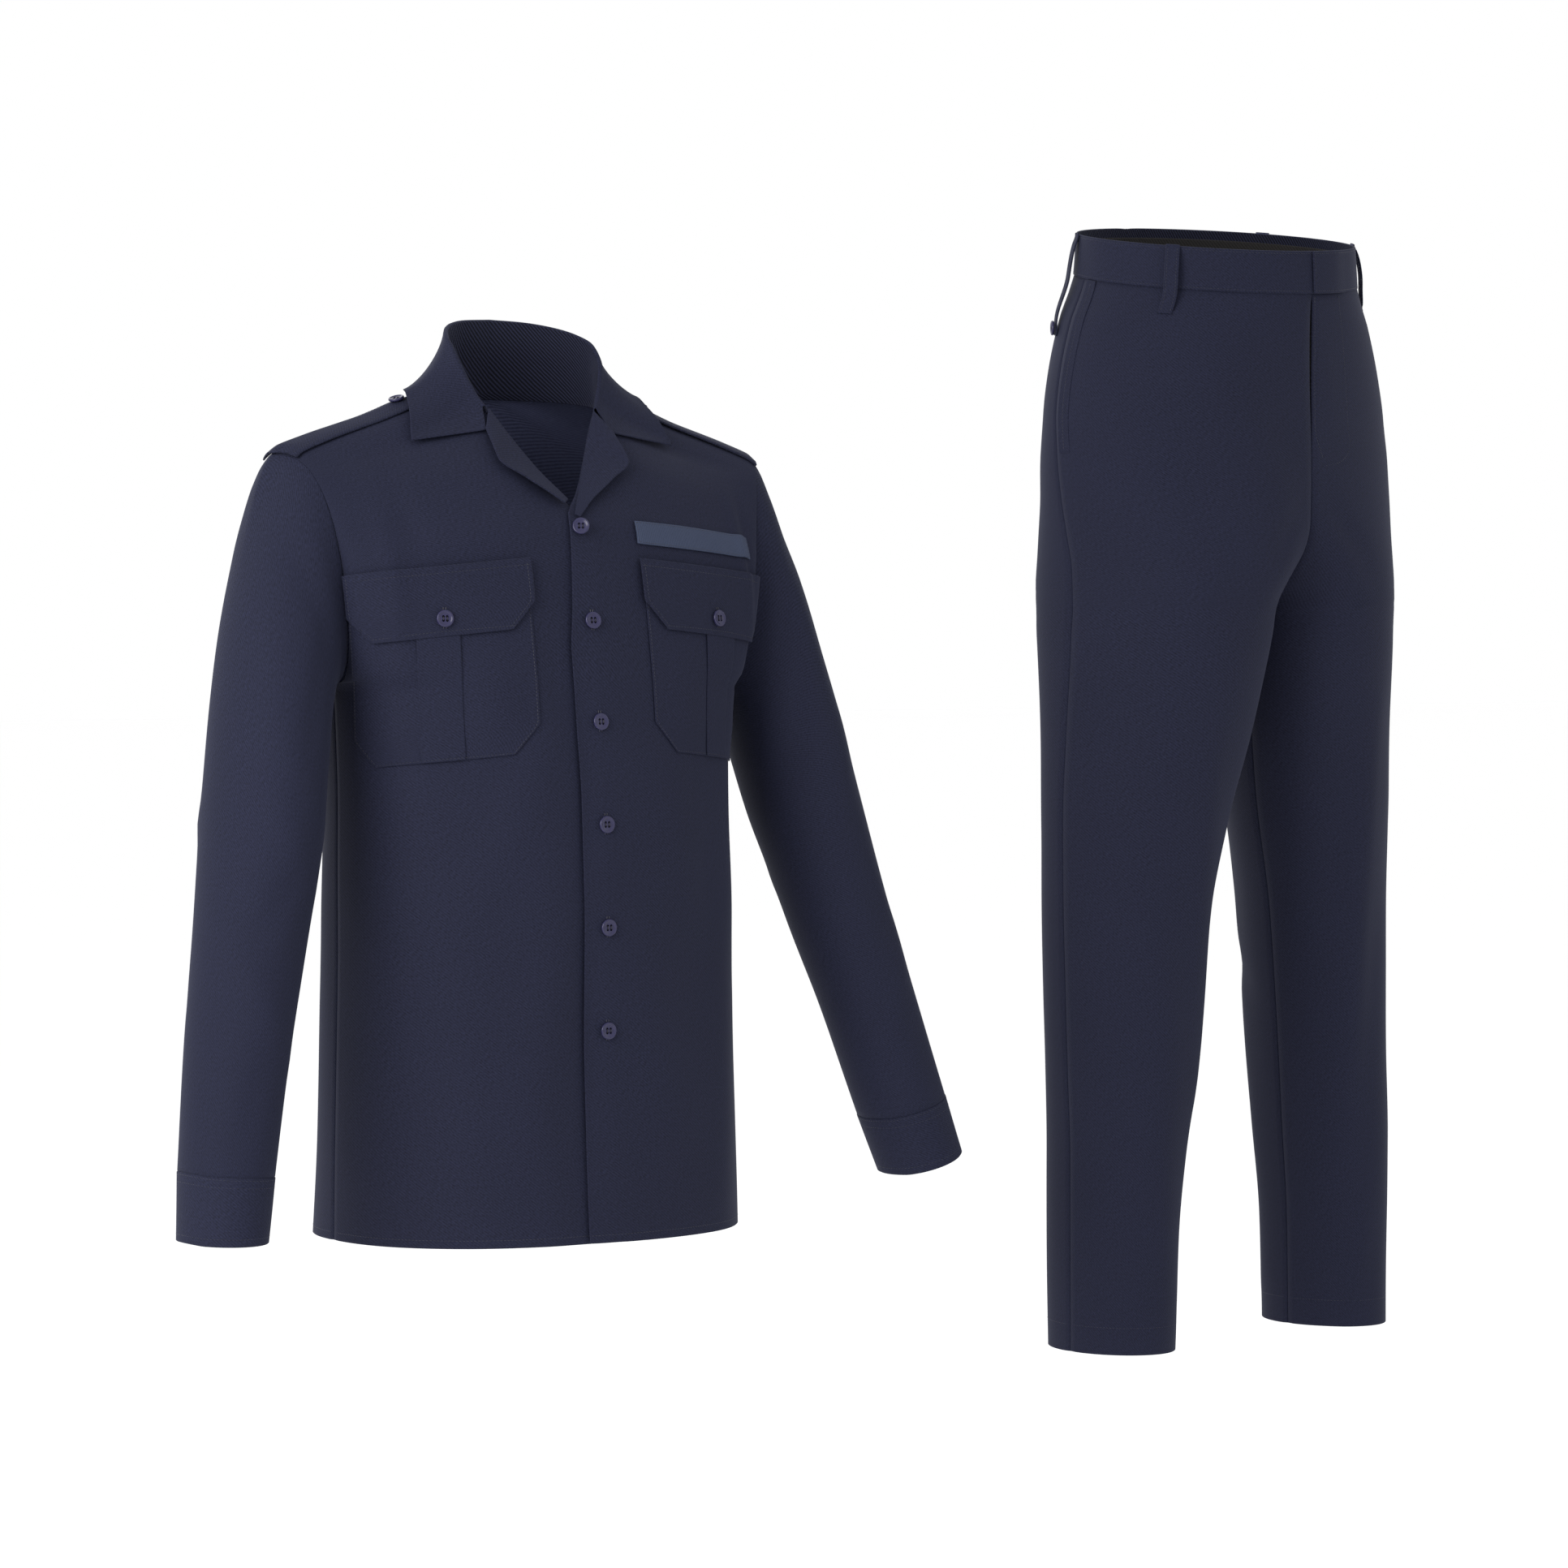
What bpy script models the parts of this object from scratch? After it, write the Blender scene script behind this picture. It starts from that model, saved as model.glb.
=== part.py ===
"""A flame-resistant uniform: a long-sleeved shirt and trousers, hollow and filled out as if worn, side by side.

Metres, +Z up. The origin is on the shirt's centre plane, at the height where the shoulders carry it. The shirt faces
-Y and the trousers stand to its +X side, turned a little more. Each garment is drawn for its wearer's left half, at
+X, and mirrored for the right half. Every piece of cloth is a closed wall between an outer and an inner grid.
"""

import math

import bmesh
import bpy
import numpy as np
from mathutils import Matrix, Vector

# Cloth and seams
CLOTH = 0.0018
SEAM_GAP = 0.0004
LAYER_GAP = 0.0005
SLEEVE_STAND_OFF = 0.0004

# Where the trousers stand
TROUSERS_X = 0.763
TROUSERS_TURN = math.radians(9.0)

# How finely the cloth is divided
BODY_ROWS = 9
ARMHOLE_ROWS = 9
PANEL_COLUMNS = 10
LEG_ROWS = 19
LEG_COLUMNS = 8

# Shirt body
HEM_HEIGHT = -0.731
UNDERARM_HEIGHT = -0.250
BREAK_UP = 1.56
OVERLAP_COLUMNS_OF = ("up", "left", "right")
OVERLAP = (
    (0.00, 0.0220, 0.0180),
    (1.10, 0.0220, 0.0180),
    (1.22, 0.0178, 0.0180),
    (1.44, 0.0108, 0.0140),
    (1.50, 0.0085, 0.0060),
    (BREAK_UP, 0.0000, 0.0000),
    (2.00, 0.0000, 0.0000),
)
UNDERLAP_DEPTH = CLOTH + 0.0020
UNDERLAP_REACH = (0.020, 0.065)
UNDERLAP_FADE = 0.2
BACK_FULLNESS = 0.010
BODY_COLUMNS_OF = ("height", "half_width", "front", "back", "power")
BODY = (
    (-0.731, 0.1925, 0.1485, 0.1430, 2.3),
    (-0.640, 0.1910, 0.1440, 0.1310, 2.3),
    (-0.550, 0.1895, 0.1405, 0.1265, 2.3),
    (-0.460, 0.1880, 0.1400, 0.1255, 2.3),
    (-0.370, 0.1880, 0.1376, 0.1240, 2.2),
    (-0.283, 0.1910, 0.1280, 0.1200, 2.2),
    (-0.250, 0.1930, 0.1235, 0.1180, 2.3),
)

# The line that each half of the shirt starts from, from the underarm level (0) to the shoulder seam at the neck (1):
# centre front, roll line and neck, and centre back and neck.
LINE_COLUMNS_OF = ("along", "x", "y", "z")
FRONT_LINE = (
    (0.00, 0.0000, -0.1235, -0.2500),
    (0.20, 0.0000, -0.1140, -0.1940),
    (0.36, 0.0000, -0.1035, -0.1400),
    (0.46, 0.0000, -0.0940, -0.1110),
    (0.53, 0.0012, -0.0835, -0.0950),
    (0.59, 0.0160, -0.0651, -0.0738),
    (0.66, 0.0280, -0.0520, -0.0558),
    (0.74, 0.0403, -0.0383, -0.0360),
    (0.84, 0.0535, -0.0260, -0.0155),
    (0.92, 0.0655, -0.0110, -0.0085),
    (1.00, 0.0770, 0.0100, -0.0030),
)
NAPE = 6 / ARMHOLE_ROWS
BACK_LINE = (
    (0.00, 0.0000, 0.1180, -0.2500),
    (0.25, 0.0000, 0.1140, -0.1700),
    (0.50, 0.0000, 0.1020, -0.0800),
    (NAPE, 0.0000, 0.0690, 0.0040),
    (0.78, 0.0350, 0.0620, 0.0035),
    (0.89, 0.0600, 0.0450, 0.0015),
    (0.95, 0.0730, 0.0260, -0.0010),
    (1.00, 0.0770, 0.0100, -0.0030),
)

# How far the chest stands forward of and above a plain curve, along the same way, and the shoulder seam's arch
CHEST_COLUMNS_OF = ("along", "forward", "up")
CHEST = (
    (0.00, 0.0000, 0.0000),
    (0.40, 0.0010, 0.0000),
    (0.55, 0.0095, -0.0020),
    (0.62, 0.0150, -0.0040),
    (0.70, 0.0160, -0.0050),
    (0.78, 0.0095, -0.0060),
    (0.84, 0.0020, -0.0068),
    (0.90, 0.0000, 0.0015),
    (1.00, 0.0000, 0.0000),
)
ARCH_START = 0.84
ARCH_COLUMNS_OF = ("share", "rise")
ARCH = (
    (0.000, 0.0000),
    (0.120, 0.0080),
    (0.256, 0.0097),
    (0.375, 0.0076),
    (0.500, 0.0060),
    (0.730, 0.0057),
    (0.850, 0.0050),
    (0.946, 0.0040),
    (1.000, 0.0000),
)

# Sleeve sections, each by its outer and inner edge: the first is the armhole
SLEEVE_COLUMNS_OF = ("outer_x", "outer_y", "outer_z", "inner_x", "inner_y", "inner_z", "half_depth")
SLEEVE = (
    (0.2450, 0.0100, -0.0535, 0.1930, 0.0000, -0.2500, 0.0530),
    (0.2500, 0.0115, -0.0610, 0.1990, -0.0010, -0.2565, 0.0560),
    (0.2566, 0.0140, -0.0790, 0.2045, -0.0040, -0.2660, 0.0611),
    (0.2638, 0.0150, -0.1060, 0.2090, -0.0080, -0.2800, 0.0641),
    (0.2748, 0.0095, -0.1450, 0.2135, -0.0125, -0.2990, 0.0666),
    (0.2891, 0.0020, -0.2000, 0.2175, -0.0170, -0.3220, 0.0676),
    (0.3036, -0.0090, -0.2620, 0.2225, -0.0220, -0.3470, 0.0671),
    (0.3161, -0.0190, -0.3250, 0.2284, -0.0300, -0.3780, 0.0651),
    (0.3296, -0.0310, -0.3900, 0.2414, -0.0420, -0.4260, 0.0607),
    (0.3436, -0.0460, -0.4600, 0.2584, -0.0550, -0.4900, 0.0554),
    (0.3576, -0.0610, -0.5300, 0.2769, -0.0690, -0.5530, 0.0511),
    (0.3688, -0.0740, -0.5870, 0.2909, -0.0800, -0.6050, 0.0484),
    (0.3791, -0.0865, -0.6390, 0.3034, -0.0900, -0.6527, 0.0466),
)
CUFF_END = (0.3874, -0.1010, -0.6915, 0.3164, -0.1030, -0.7035, 0.0446)
HANG_START = -0.250
HANG_END = -0.650
OUTER_HANG = 0.0160
INNER_HANG = 0.0078
ARMHOLE_SQUARENESS = 0.72
FRONT_HOLLOW = 0.024
BACK_HOLLOW = 0.010
HOLLOW_END = 0.40
HOLLOW_SPREAD = 0.6
HOLLOW_NARROWING = 2.2
HANG_CURVE = 1.5
HANG_HALF_WIDTH = 0.030
CUFF_RAISE = 0.0004

# Collar, from centre back (0) to the gorge (1): neck seam, fold and leaf edge
COLLAR_COLUMNS_OF = ("along", "seam_x", "seam_y", "seam_z", "fold_x", "fold_y", "fold_z", "edge_x", "edge_y", "edge_z")
COLLAR = (
    (0.00, 0.0000, 0.0664, 0.0057, 0.0000, 0.0610, 0.0715, 0.0000, 0.0860, -0.0020),
    (0.16, 0.0340, 0.0594, 0.0051, 0.0270, 0.0560, 0.0700, 0.0420, 0.0800, -0.0010),
    (0.32, 0.0584, 0.0424, 0.0034, 0.0475, 0.0435, 0.0660, 0.0820, 0.0580, 0.0020),
    (0.46, 0.0708, 0.0248, 0.0009, 0.0630, 0.0250, 0.0590, 0.1040, 0.0320, 0.0060),
    (0.60, 0.0744, 0.0098, -0.0012, 0.0705, 0.0070, 0.0490, 0.1165, 0.0080, 0.0050),
    (0.74, 0.0700, -0.0030, -0.0039, 0.0705, -0.0050, 0.0360, 0.1215, -0.0080, -0.0060),
    (0.86, 0.0628, -0.0130, -0.0079, 0.0660, -0.0135, 0.0190, 0.1262, -0.0205, -0.0190),
    (0.95, 0.0560, -0.0220, -0.0124, 0.0590, -0.0205, 0.0010, 0.1302, -0.0292, -0.0338),
    (1.00, 0.0530, -0.0272, -0.0137, 0.0537, -0.0265, -0.0090, 0.1315, -0.0328, -0.0402),
)
NOTCH = (0.0627, -0.0410, -0.0300)
NOTCH_SHARE = 0.28
COLLAR_ROWS = 24
FOLD_RADIUS = CLOTH + 0.0006
LEAST_STAND = 2.2 * FOLD_RADIUS
FOLD_TURNS = (60.0, 120.0)
LEAF_SHARES = (0.0, 0.28, 0.52, 0.76, 1.0)
LEAF_SPREAD = 1.45
LEAF_DROP = 1.25
NOTCH_START = 0.93

# Lapel from the break (0) to the gorge (1): its roll line and its outer edge
LAPEL_COLUMNS_OF = ("along", "roll_x", "roll_y", "roll_z", "edge_x", "edge_y", "edge_z")
LAPEL = (
    (0.00, -0.0040, -0.0915, -0.1040, 0.0000, -0.0945, -0.1065),
    (0.16, 0.0075, -0.0785, -0.0880, 0.0164, -0.0875, -0.0915),
    (0.45, 0.0220, -0.0605, -0.0665, 0.0417, -0.0780, -0.0740),
    (0.78, 0.0405, -0.0405, -0.0350, 0.0657, -0.0660, -0.0545),
    (1.00, 0.0530, -0.0285, -0.0125, 0.0632, -0.0425, -0.0305),
)
UNDER_LAPEL_START = 0.12
UNDER_LAPEL_SET_BACK = 0.0014
LAPEL_THICKNESS = CLOTH * 0.8
LAPEL_ROWS = 8
LAPEL_COLUMNS = 4

# Things on the chest, placed by distance round the body from the centre plane and by height
BUTTON_COLUMNS_OF = ("height", "lift")
BUTTONS = (
    (-0.1155, 0.0036),
    (-0.1960, 0.0006),
    (-0.2830, 0.0001),
    (-0.3713, -0.0001),
    (-0.4600, 0.0001),
    (-0.5489, 0.0003),
)
CHEST_SLOPE = -0.090
CHEST_REFERENCE = 0.135
THIN_CLOTH = 0.0013
THIN_GAP = 0.0010
POCKET_LIFT = 0.0019
POCKET_START = 0.0585
POCKET_WIDTH = 0.1620
POCKET_FLARE = 0.0080
POCKET_TOP = -0.1530
POCKET_BOTTOM = -0.3150
POCKET_CUT = 0.0240
PLEAT_START = 0.1250
PLEAT_WIDTH = 0.0370
PLEAT_CUT = 0.0005
FLAP_START = 0.0550
FLAP_WIDTH = 0.1660
FLAP_TOP = -0.1500
FLAP_BOTTOM = -0.2090
FLAP_CUT = 0.0230
FLAP_BUTTON_AT = (0.1375, -0.1945)
STRIP_START = 0.0560
STRIP_WIDTH = 0.1420
STRIP_TOP = -0.1170
STRIP_HEIGHT = 0.0190
STRIP_THICKNESS = 0.0010
STRIP_LIFT = 0.0014
POCKET_ROWS = 8
POCKET_COLUMNS = 12
PLEAT_COLUMNS = 3
FLAP_ROWS = 4
FLAP_COLUMNS = 13
STRIP_COLUMNS = 10

# Shoulder straps, from under the collar to the sleeve head
STRAP_START = 0.07
STRAP_END = 0.950
STRAP_HALF_WIDTH_IN = 0.0175
STRAP_HALF_WIDTH_OUT = 0.0260
STRAP_ROWS = 9
STRAP_STEPS = (-1.0, -0.55, -0.2, 0.0, 0.2, 0.55, 1.0)
STRAP_MIDDLE = 3
STRAP_BUTTON_X = 0.1225

# Buttons
BUTTON_RADIUS = 0.0075
BUTTON_THICKNESS = 0.0028
SMALL_BUTTON_RADIUS = 0.0070
BUTTON_SIDES = 12

# Trousers: each leg's section by height. It starts at the centre plane down to the crotch, where share becomes 1.
BAND_TOP = 0.1713
BAND_SEAM = 0.1323
TROUSER_HEM = -0.8817
LEG_COLUMNS_OF = ("height", "side", "share", "centre_y", "front", "back", "skew", "seam_angle")
LEG = (
    (-0.8817, 0.2010, 2.870, -0.0115, 0.0668, 0.0668, 0.000, 93.0),
    (-0.7770, 0.2010, 2.770, -0.0116, 0.0686, 0.0686, 0.000, 93.0),
    (-0.7000, 0.2006, 2.569, -0.0112, 0.0712, 0.0712, 0.000, 93.0),
    (-0.6220, 0.2007, 2.289, -0.0112, 0.0736, 0.0736, 0.052, 93.0),
    (-0.5440, 0.2010, 2.049, -0.0111, 0.0768, 0.0768, 0.090, 93.0),
    (-0.4660, 0.2008, 1.809, -0.0109, 0.0803, 0.0803, 0.120, 93.0),
    (-0.3880, 0.2005, 1.500, -0.0115, 0.0876, 0.0849, 0.130, 93.0),
    (-0.3000, 0.1965, 1.230, -0.0160, 0.0950, 0.0970, 0.170, 93.0),
    (-0.2090, 0.1905, 1.060, -0.0210, 0.1040, 0.1170, 0.200, 93.0),
    (-0.1850, 0.1890, 1.010, -0.0205, 0.1070, 0.1210, 0.180, 93.0),
    (-0.1500, 0.1890, 0.780, -0.0190, 0.1130, 0.1250, 0.150, 93.0),
    (-0.1153, 0.1930, 0.480, -0.0140, 0.1180, 0.1220, 0.090, 94.0),
    (-0.0764, 0.1985, 0.230, -0.0060, 0.1240, 0.1160, 0.030, 95.0),
    (-0.0374, 0.2010, 0.070, 0.0000, 0.1285, 0.1160, 0.000, 96.0),
    (0.0015, 0.1975, 0.000, 0.0000, 0.1285, 0.1190, 0.000, 99.0),
    (0.0404, 0.1888, 0.000, 0.0000, 0.1280, 0.1210, 0.000, 101.0),
    (0.0900, 0.1700, 0.000, 0.0000, 0.1280, 0.1220, 0.000, 104.0),
    (0.1323, 0.1480, 0.000, 0.0000, 0.1280, 0.1200, 0.000, 107.0),
    (0.1713, 0.1450, 0.000, 0.0000, 0.1265, 0.1180, 0.000, 108.0),
)
CROTCH_HEIGHT = -0.185
WAIST_DROP = 0.0055
WAIST_SLOPE = 0.105
BAND_COLUMNS = 14
BAND_LAP = 0.030
WAIST_RADIUS = 0.137
BAND_LIFT = CLOTH + LAYER_GAP
CURTAIN_TOP_INSET = 0.007
CURTAIN_GAP = 0.0010
CURTAIN_THICKNESS = CLOTH * 0.7
FLY_GAP = 0.0016
FLY_TOP = BAND_SEAM
FLY_BOTTOM = -0.035
FLY_SLIT = 0.0034
FLY_UNDERLAP = 0.030

# Belt loops
LOOP_WIDTH = 0.0125
LOOP_TOP = BAND_TOP + 0.001
LOOP_FOOT = 0.1085
LOOP_STAND_OFF = 0.0062
FRONT_LOOP_ANGLE = 59.0
SIDE_LOOP_ANGLE = 118.0
SIDE_LOOP_FOOT = 0.0760
LOOP_THICKNESS = 0.0015
LEFT_LOOP_GAP = -0.0002
RIGHT_LOOP_GAP = 0.0006

# Each look is a colour and a roughness
CLOTH_LOOK = ((0.023, 0.026, 0.048, 1.0), 0.85)
BUTTON_LOOK = ((0.060, 0.058, 0.105, 1.0), 0.3)
STRIP_LOOK = ((0.055, 0.070, 0.115, 1.0), 0.9)
LINING_LOOK = ((0.016, 0.014, 0.014, 1.0), 0.8)


# Numbers along a table

def smooth(table, columns, name, at):
    """A column of a table as a smooth curve of its first column, with no overshoot between rows."""
    rows = np.array(table)
    x, y = rows[:, 0], rows[:, columns.index(name)]
    step = np.diff(x)
    slope = np.diff(y) / step
    tangent = np.zeros(len(x))
    product = slope[:-1] * slope[1:]
    rising = product > 0
    total = np.where(rising, slope[:-1] + slope[1:], 1.0)
    tangent[1:-1] = np.where(rising, 2 * product / total, 0.0)
    tangent[0], tangent[-1] = slope[0], slope[-1]
    at = np.clip(np.asarray(at, float), x[0], x[-1])
    i = np.clip(np.searchsorted(x, at, side="right") - 1, 0, len(x) - 2)
    t = (at - x[i]) / step[i]
    start = (1 + 2 * t) * (1 - t) ** 2 * y[i] + t * (1 - t) ** 2 * step[i] * tangent[i]
    end = t * t * (3 - 2 * t) * y[i + 1] + t * t * (t - 1) * step[i] * tangent[i + 1]
    return start + end


def numbered(table):
    """The same table with its row number from 0 to 1 in front."""
    return tuple((i / (len(table) - 1),) + tuple(row) for i, row in enumerate(table))


def curve(table, columns, prefix, at):
    """Three columns of a table as points."""
    return np.stack([smooth(table, columns, prefix + axis, at) for axis in "xyz"], axis=-1)


def ease(value):
    """0 to 1 with soft ends."""
    value = np.clip(value, 0.0, 1.0)
    return value * value * (3 - 2 * value)


def unit(vectors):
    length = np.linalg.norm(vectors, axis=-1, keepdims=True)
    return vectors / np.maximum(length, 1e-12)


# Grids of points and the walls built on them

def normals_of(points, closed=False):
    """Unit normals of a grid, columns crossed with rows."""
    if closed:
        across = np.roll(points, -1, axis=1) - np.roll(points, 1, axis=1)
    else:
        across = np.gradient(points, axis=1)
    normals = unit(np.cross(across, np.gradient(points, axis=0)))
    normals[np.abs(points[..., 0]) < 1e-6, 0] = 0.0
    return unit(normals)


def mirrored(points):
    """The wearer's right-hand copy, with its columns reversed so that it still faces out."""
    return points[:, ::-1] * np.array([-1.0, 1.0, 1.0])


def pulled_back(points, amount, closed=False, kept_column=None):
    """The same grid with its open edges drawn in along the cloth, but for a column that is joined to another grid."""
    result = points.copy()
    result[0] += unit(points[1] - points[0]) * amount
    result[-1] += unit(points[-2] - points[-1]) * amount
    if closed:
        return result
    if kept_column != 0:
        result[:, 0] += unit(points[:, 1] - points[:, 0]) * amount
    if kept_column != -1:
        result[:, -1] += unit(points[:, -2] - points[:, -1]) * amount
    return result


def shared_normals(pieces):
    """Gives points that neighbouring pieces share one mitred wall direction, so their edges meet."""
    at_point = {}
    for name, (points, closed) in pieces.items():
        normals = normals_of(points, closed)
        for index in np.ndindex(points.shape[:2]):
            key = tuple(np.round(points[index] * 1e5).astype(int))
            at_point.setdefault(key, []).append((name, index, normals[index]))
    result = {name: normals_of(points, closed) for name, (points, closed) in pieces.items()}
    for found in at_point.values():
        mean = np.mean([normal for _, _, normal in found], axis=0)
        length = np.linalg.norm(mean)
        if len(found) < 2 or length < 0.75:
            continue
        for name, index, _ in found:
            result[name][index] = mean / length / max(length, 0.8)
    return result


def new_material(name, colour, roughness):
    material = bpy.data.materials.new(name)
    material.use_nodes = True
    shader = material.node_tree.nodes["Principled BSDF"]
    shader.inputs["Base Color"].default_value = colour
    shader.inputs["Roughness"].default_value = roughness
    shader.inputs["Metallic"].default_value = 0.0
    return material


def add_object(name, vertices, faces, look, parent):
    mesh = bpy.data.meshes.new(name)
    mesh.from_pydata([tuple(point) for point in vertices], [], faces)
    mesh.validate()
    mesh.shade_smooth()
    mesh.set_sharp_from_angle(angle=math.radians(40))
    mesh.materials.append(new_material(name, *look))
    obj = bpy.data.objects.new(name, mesh)
    bpy.context.scene.collection.objects.link(obj)
    obj.parent = parent
    return obj


def add_walls(name, grids, look, parent, closed=False):
    """A closed solid between outer and inner grids, joined wherever the grids share outer points.

    A closed grid's last column joins its first. Every open edge of the cloth gets its own narrow side.
    """
    number_at, outer_points, inner_points, quads = {}, [], [], []
    for outer, inner in grids:
        rows, columns = outer.shape[:2]
        numbers = np.empty((rows, columns), int)
        for at in np.ndindex(rows, columns):
            key = tuple(np.round(outer[at] * 1e6).astype(int))
            if key not in number_at:
                number_at[key] = len(outer_points)
                outer_points.append(outer[at])
                inner_points.append(inner[at])
            numbers[at] = number_at[key]
        if closed:
            numbers = np.concatenate([numbers, numbers[:, :1]], axis=1)
        for row in range(rows - 1):
            for column in range(numbers.shape[1] - 1):
                low, high = numbers[row, column : column + 2], numbers[row + 1, column : column + 2]
                quads.append([int(low[0]), int(low[1]), int(high[1]), int(high[0])])
    count = len(outer_points)
    edges = {(quad[k], quad[(k + 1) % 4]) for quad in quads for k in range(4)}
    faces = list(quads) + [[corner + count for corner in reversed(quad)] for quad in quads]
    for first, second in edges:
        if (second, first) not in edges:
            faces.append([second, first, first + count, second + count])
    return add_object(name, outer_points + inner_points, faces, look, parent)


def add_wall(name, outer, inner, look, parent, closed=False):
    return add_walls(name, [(outer, inner)], look, parent, closed)


def add_sheet(name, points, lift, thickness, look, parent):
    """A piece that lies on a panel: its points moved out by lift, with its own thickness above that."""
    normals = normals_of(points)
    return add_wall(name, points + normals * (lift + thickness), points + normals * lift, look, parent)


# The shirt's body

def armhole(angle):
    """A point of the armhole: 0 is the shoulder tip, 180 degrees the underarm, and the front is at -Y."""
    first = SLEEVE[0]
    return ring_points(np.array(first[0:3]), np.array(first[3:6]), first[6], np.asarray(angle, float), 0.0)


def body_start_and_end(up, front):
    """The first and last points of a row: at the centre line, roll line or neck, and at the side seam or armhole."""
    height = HEM_HEIGHT + np.clip(up, 0.0, 1.0) * (UNDERARM_HEIGHT - HEM_HEIGHT)
    along = np.clip(up - 1.0, 0.0, 1.0)
    depth = smooth(BODY, BODY_COLUMNS_OF, "front" if front else "back", height)
    low_start = np.stack([0 * height, -depth if front else depth, height], axis=-1)
    half_width = smooth(BODY, BODY_COLUMNS_OF, "half_width", height)
    low_end = np.stack([half_width, 0 * height, height], axis=-1)
    high_start = curve(FRONT_LINE if front else BACK_LINE, LINE_COLUMNS_OF, "", along)
    angle = math.pi * (1.0 - along)
    high_end = armhole(angle if front else -angle)
    above = (up > 1.0)[..., None]
    return np.where(above, high_start, low_start), np.where(above, high_end, low_end)


def body(up, across, front, past_centre=0.0):
    """The shirt's outer surface on the wearer's left: up is 0 at the hem, 1 at the underarm and 2 at the shoulder.

    Across is 0 at the centre line and 1 at the side seam or armhole. Past_centre is how far the row starts beyond
    the centre plane.
    """
    up, across = np.broadcast_arrays(np.asarray(up, float), np.asarray(across, float))
    start, end = body_start_and_end(up, front)
    height = HEM_HEIGHT + np.clip(up, 0.0, 1.0) * (UNDERARM_HEIGHT - HEM_HEIGHT)
    power = smooth(BODY, BODY_COLUMNS_OF, "power", height)
    reach = end[..., 0] - start[..., 0]
    first_angle = -np.arcsin(np.clip(past_centre / reach, 0.0, 1.0) ** (power / 2))
    angle = first_angle + across * (math.pi / 2 - first_angle)
    outwards = np.sign(np.sin(angle)) * np.abs(np.sin(angle)) ** (2 / power)
    forwards = np.abs(np.cos(angle)) ** (2 / power)
    along = np.clip(up - 1.0, 0.0, 1.0)
    share = np.clip(outwards, 0.0, 1.0)
    rise = smooth(ARCH, ARCH_COLUMNS_OF, "rise", share) * ease((along - ARCH_START) / (1 - ARCH_START))
    if front:
        forward = smooth(CHEST, CHEST_COLUMNS_OF, "forward", along) * np.sin(math.pi * share ** 0.6)
        rise = rise + smooth(CHEST, CHEST_COLUMNS_OF, "up", along) * np.sin(math.pi * share ** 0.8)
    else:
        forward = -BACK_FULLNESS * np.sin(math.pi * along) ** 1.5 * np.sin(math.pi * share)
    x = start[..., 0] + reach * outwards
    y = end[..., 1] + (start[..., 1] - end[..., 1]) * forwards - forward
    z = start[..., 2] + (end[..., 2] - start[..., 2]) * share + rise
    return np.stack([x, y, z], axis=-1)


def overlap(up, side):
    """How far a front passes the centre plane, down to nothing where the lapels turn out."""
    return smooth(OVERLAP, OVERLAP_COLUMNS_OF, side, up)


def under_inset(points, up):
    """Sets the under front back behind the over front where the two lap."""
    near_centre = 1 - ease((points[..., 0] - UNDERLAP_REACH[0]) / (UNDERLAP_REACH[1] - UNDERLAP_REACH[0]))
    below_break = 1 - ease((up - BREAK_UP) / UNDERLAP_FADE)
    return (near_centre * below_break * UNDERLAP_DEPTH)[..., None]


def body_levels():
    low = np.linspace(0.0, 1.0, BODY_ROWS + 1)
    high = np.linspace(1.0, 2.0, ARMHOLE_ROWS + 1)[1:]
    return np.concatenate([low, high])


def front_point(distance, height):
    """The front's outer surface at a distance round the body from the centre plane, and the normal there."""
    distance, height = np.broadcast_arrays(np.asarray(distance, float), np.asarray(height, float))
    steps = np.linspace(0.0, 1.0, 61) + np.zeros(height.shape + (1,))
    low, high = np.zeros(steps.shape), np.full(steps.shape, 1.9)
    for _ in range(24):
        middle = (low + high) / 2
        under = body(middle, steps, True)[..., 2] < height[..., None]
        low, high = np.where(under, middle, low), np.where(under, high, middle)
    level = body(low, steps, True)
    arc = np.cumsum(np.linalg.norm(np.diff(level, axis=-2), axis=-1), axis=-1)
    arc = np.concatenate([np.zeros(height.shape + (1,)), arc], axis=-1)
    across, up = np.zeros(height.shape), np.zeros(height.shape)
    for index in np.ndindex(height.shape):
        across[index] = np.interp(distance[index], arc[index], steps[index])
        up[index] = np.interp(distance[index], arc[index], low[index])
    nudge = 1e-4
    here = body(up, across, True)
    by_up = body(up + nudge, across, True) - here
    by_across = body(up, across + nudge, True) - here
    return here, unit(np.cross(by_across, by_up))


def on_chest(distance, height):
    """A point of the chest, with the slope that the pockets and the name strip share."""
    return front_point(distance, height + CHEST_SLOPE * (distance - CHEST_REFERENCE))


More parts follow.
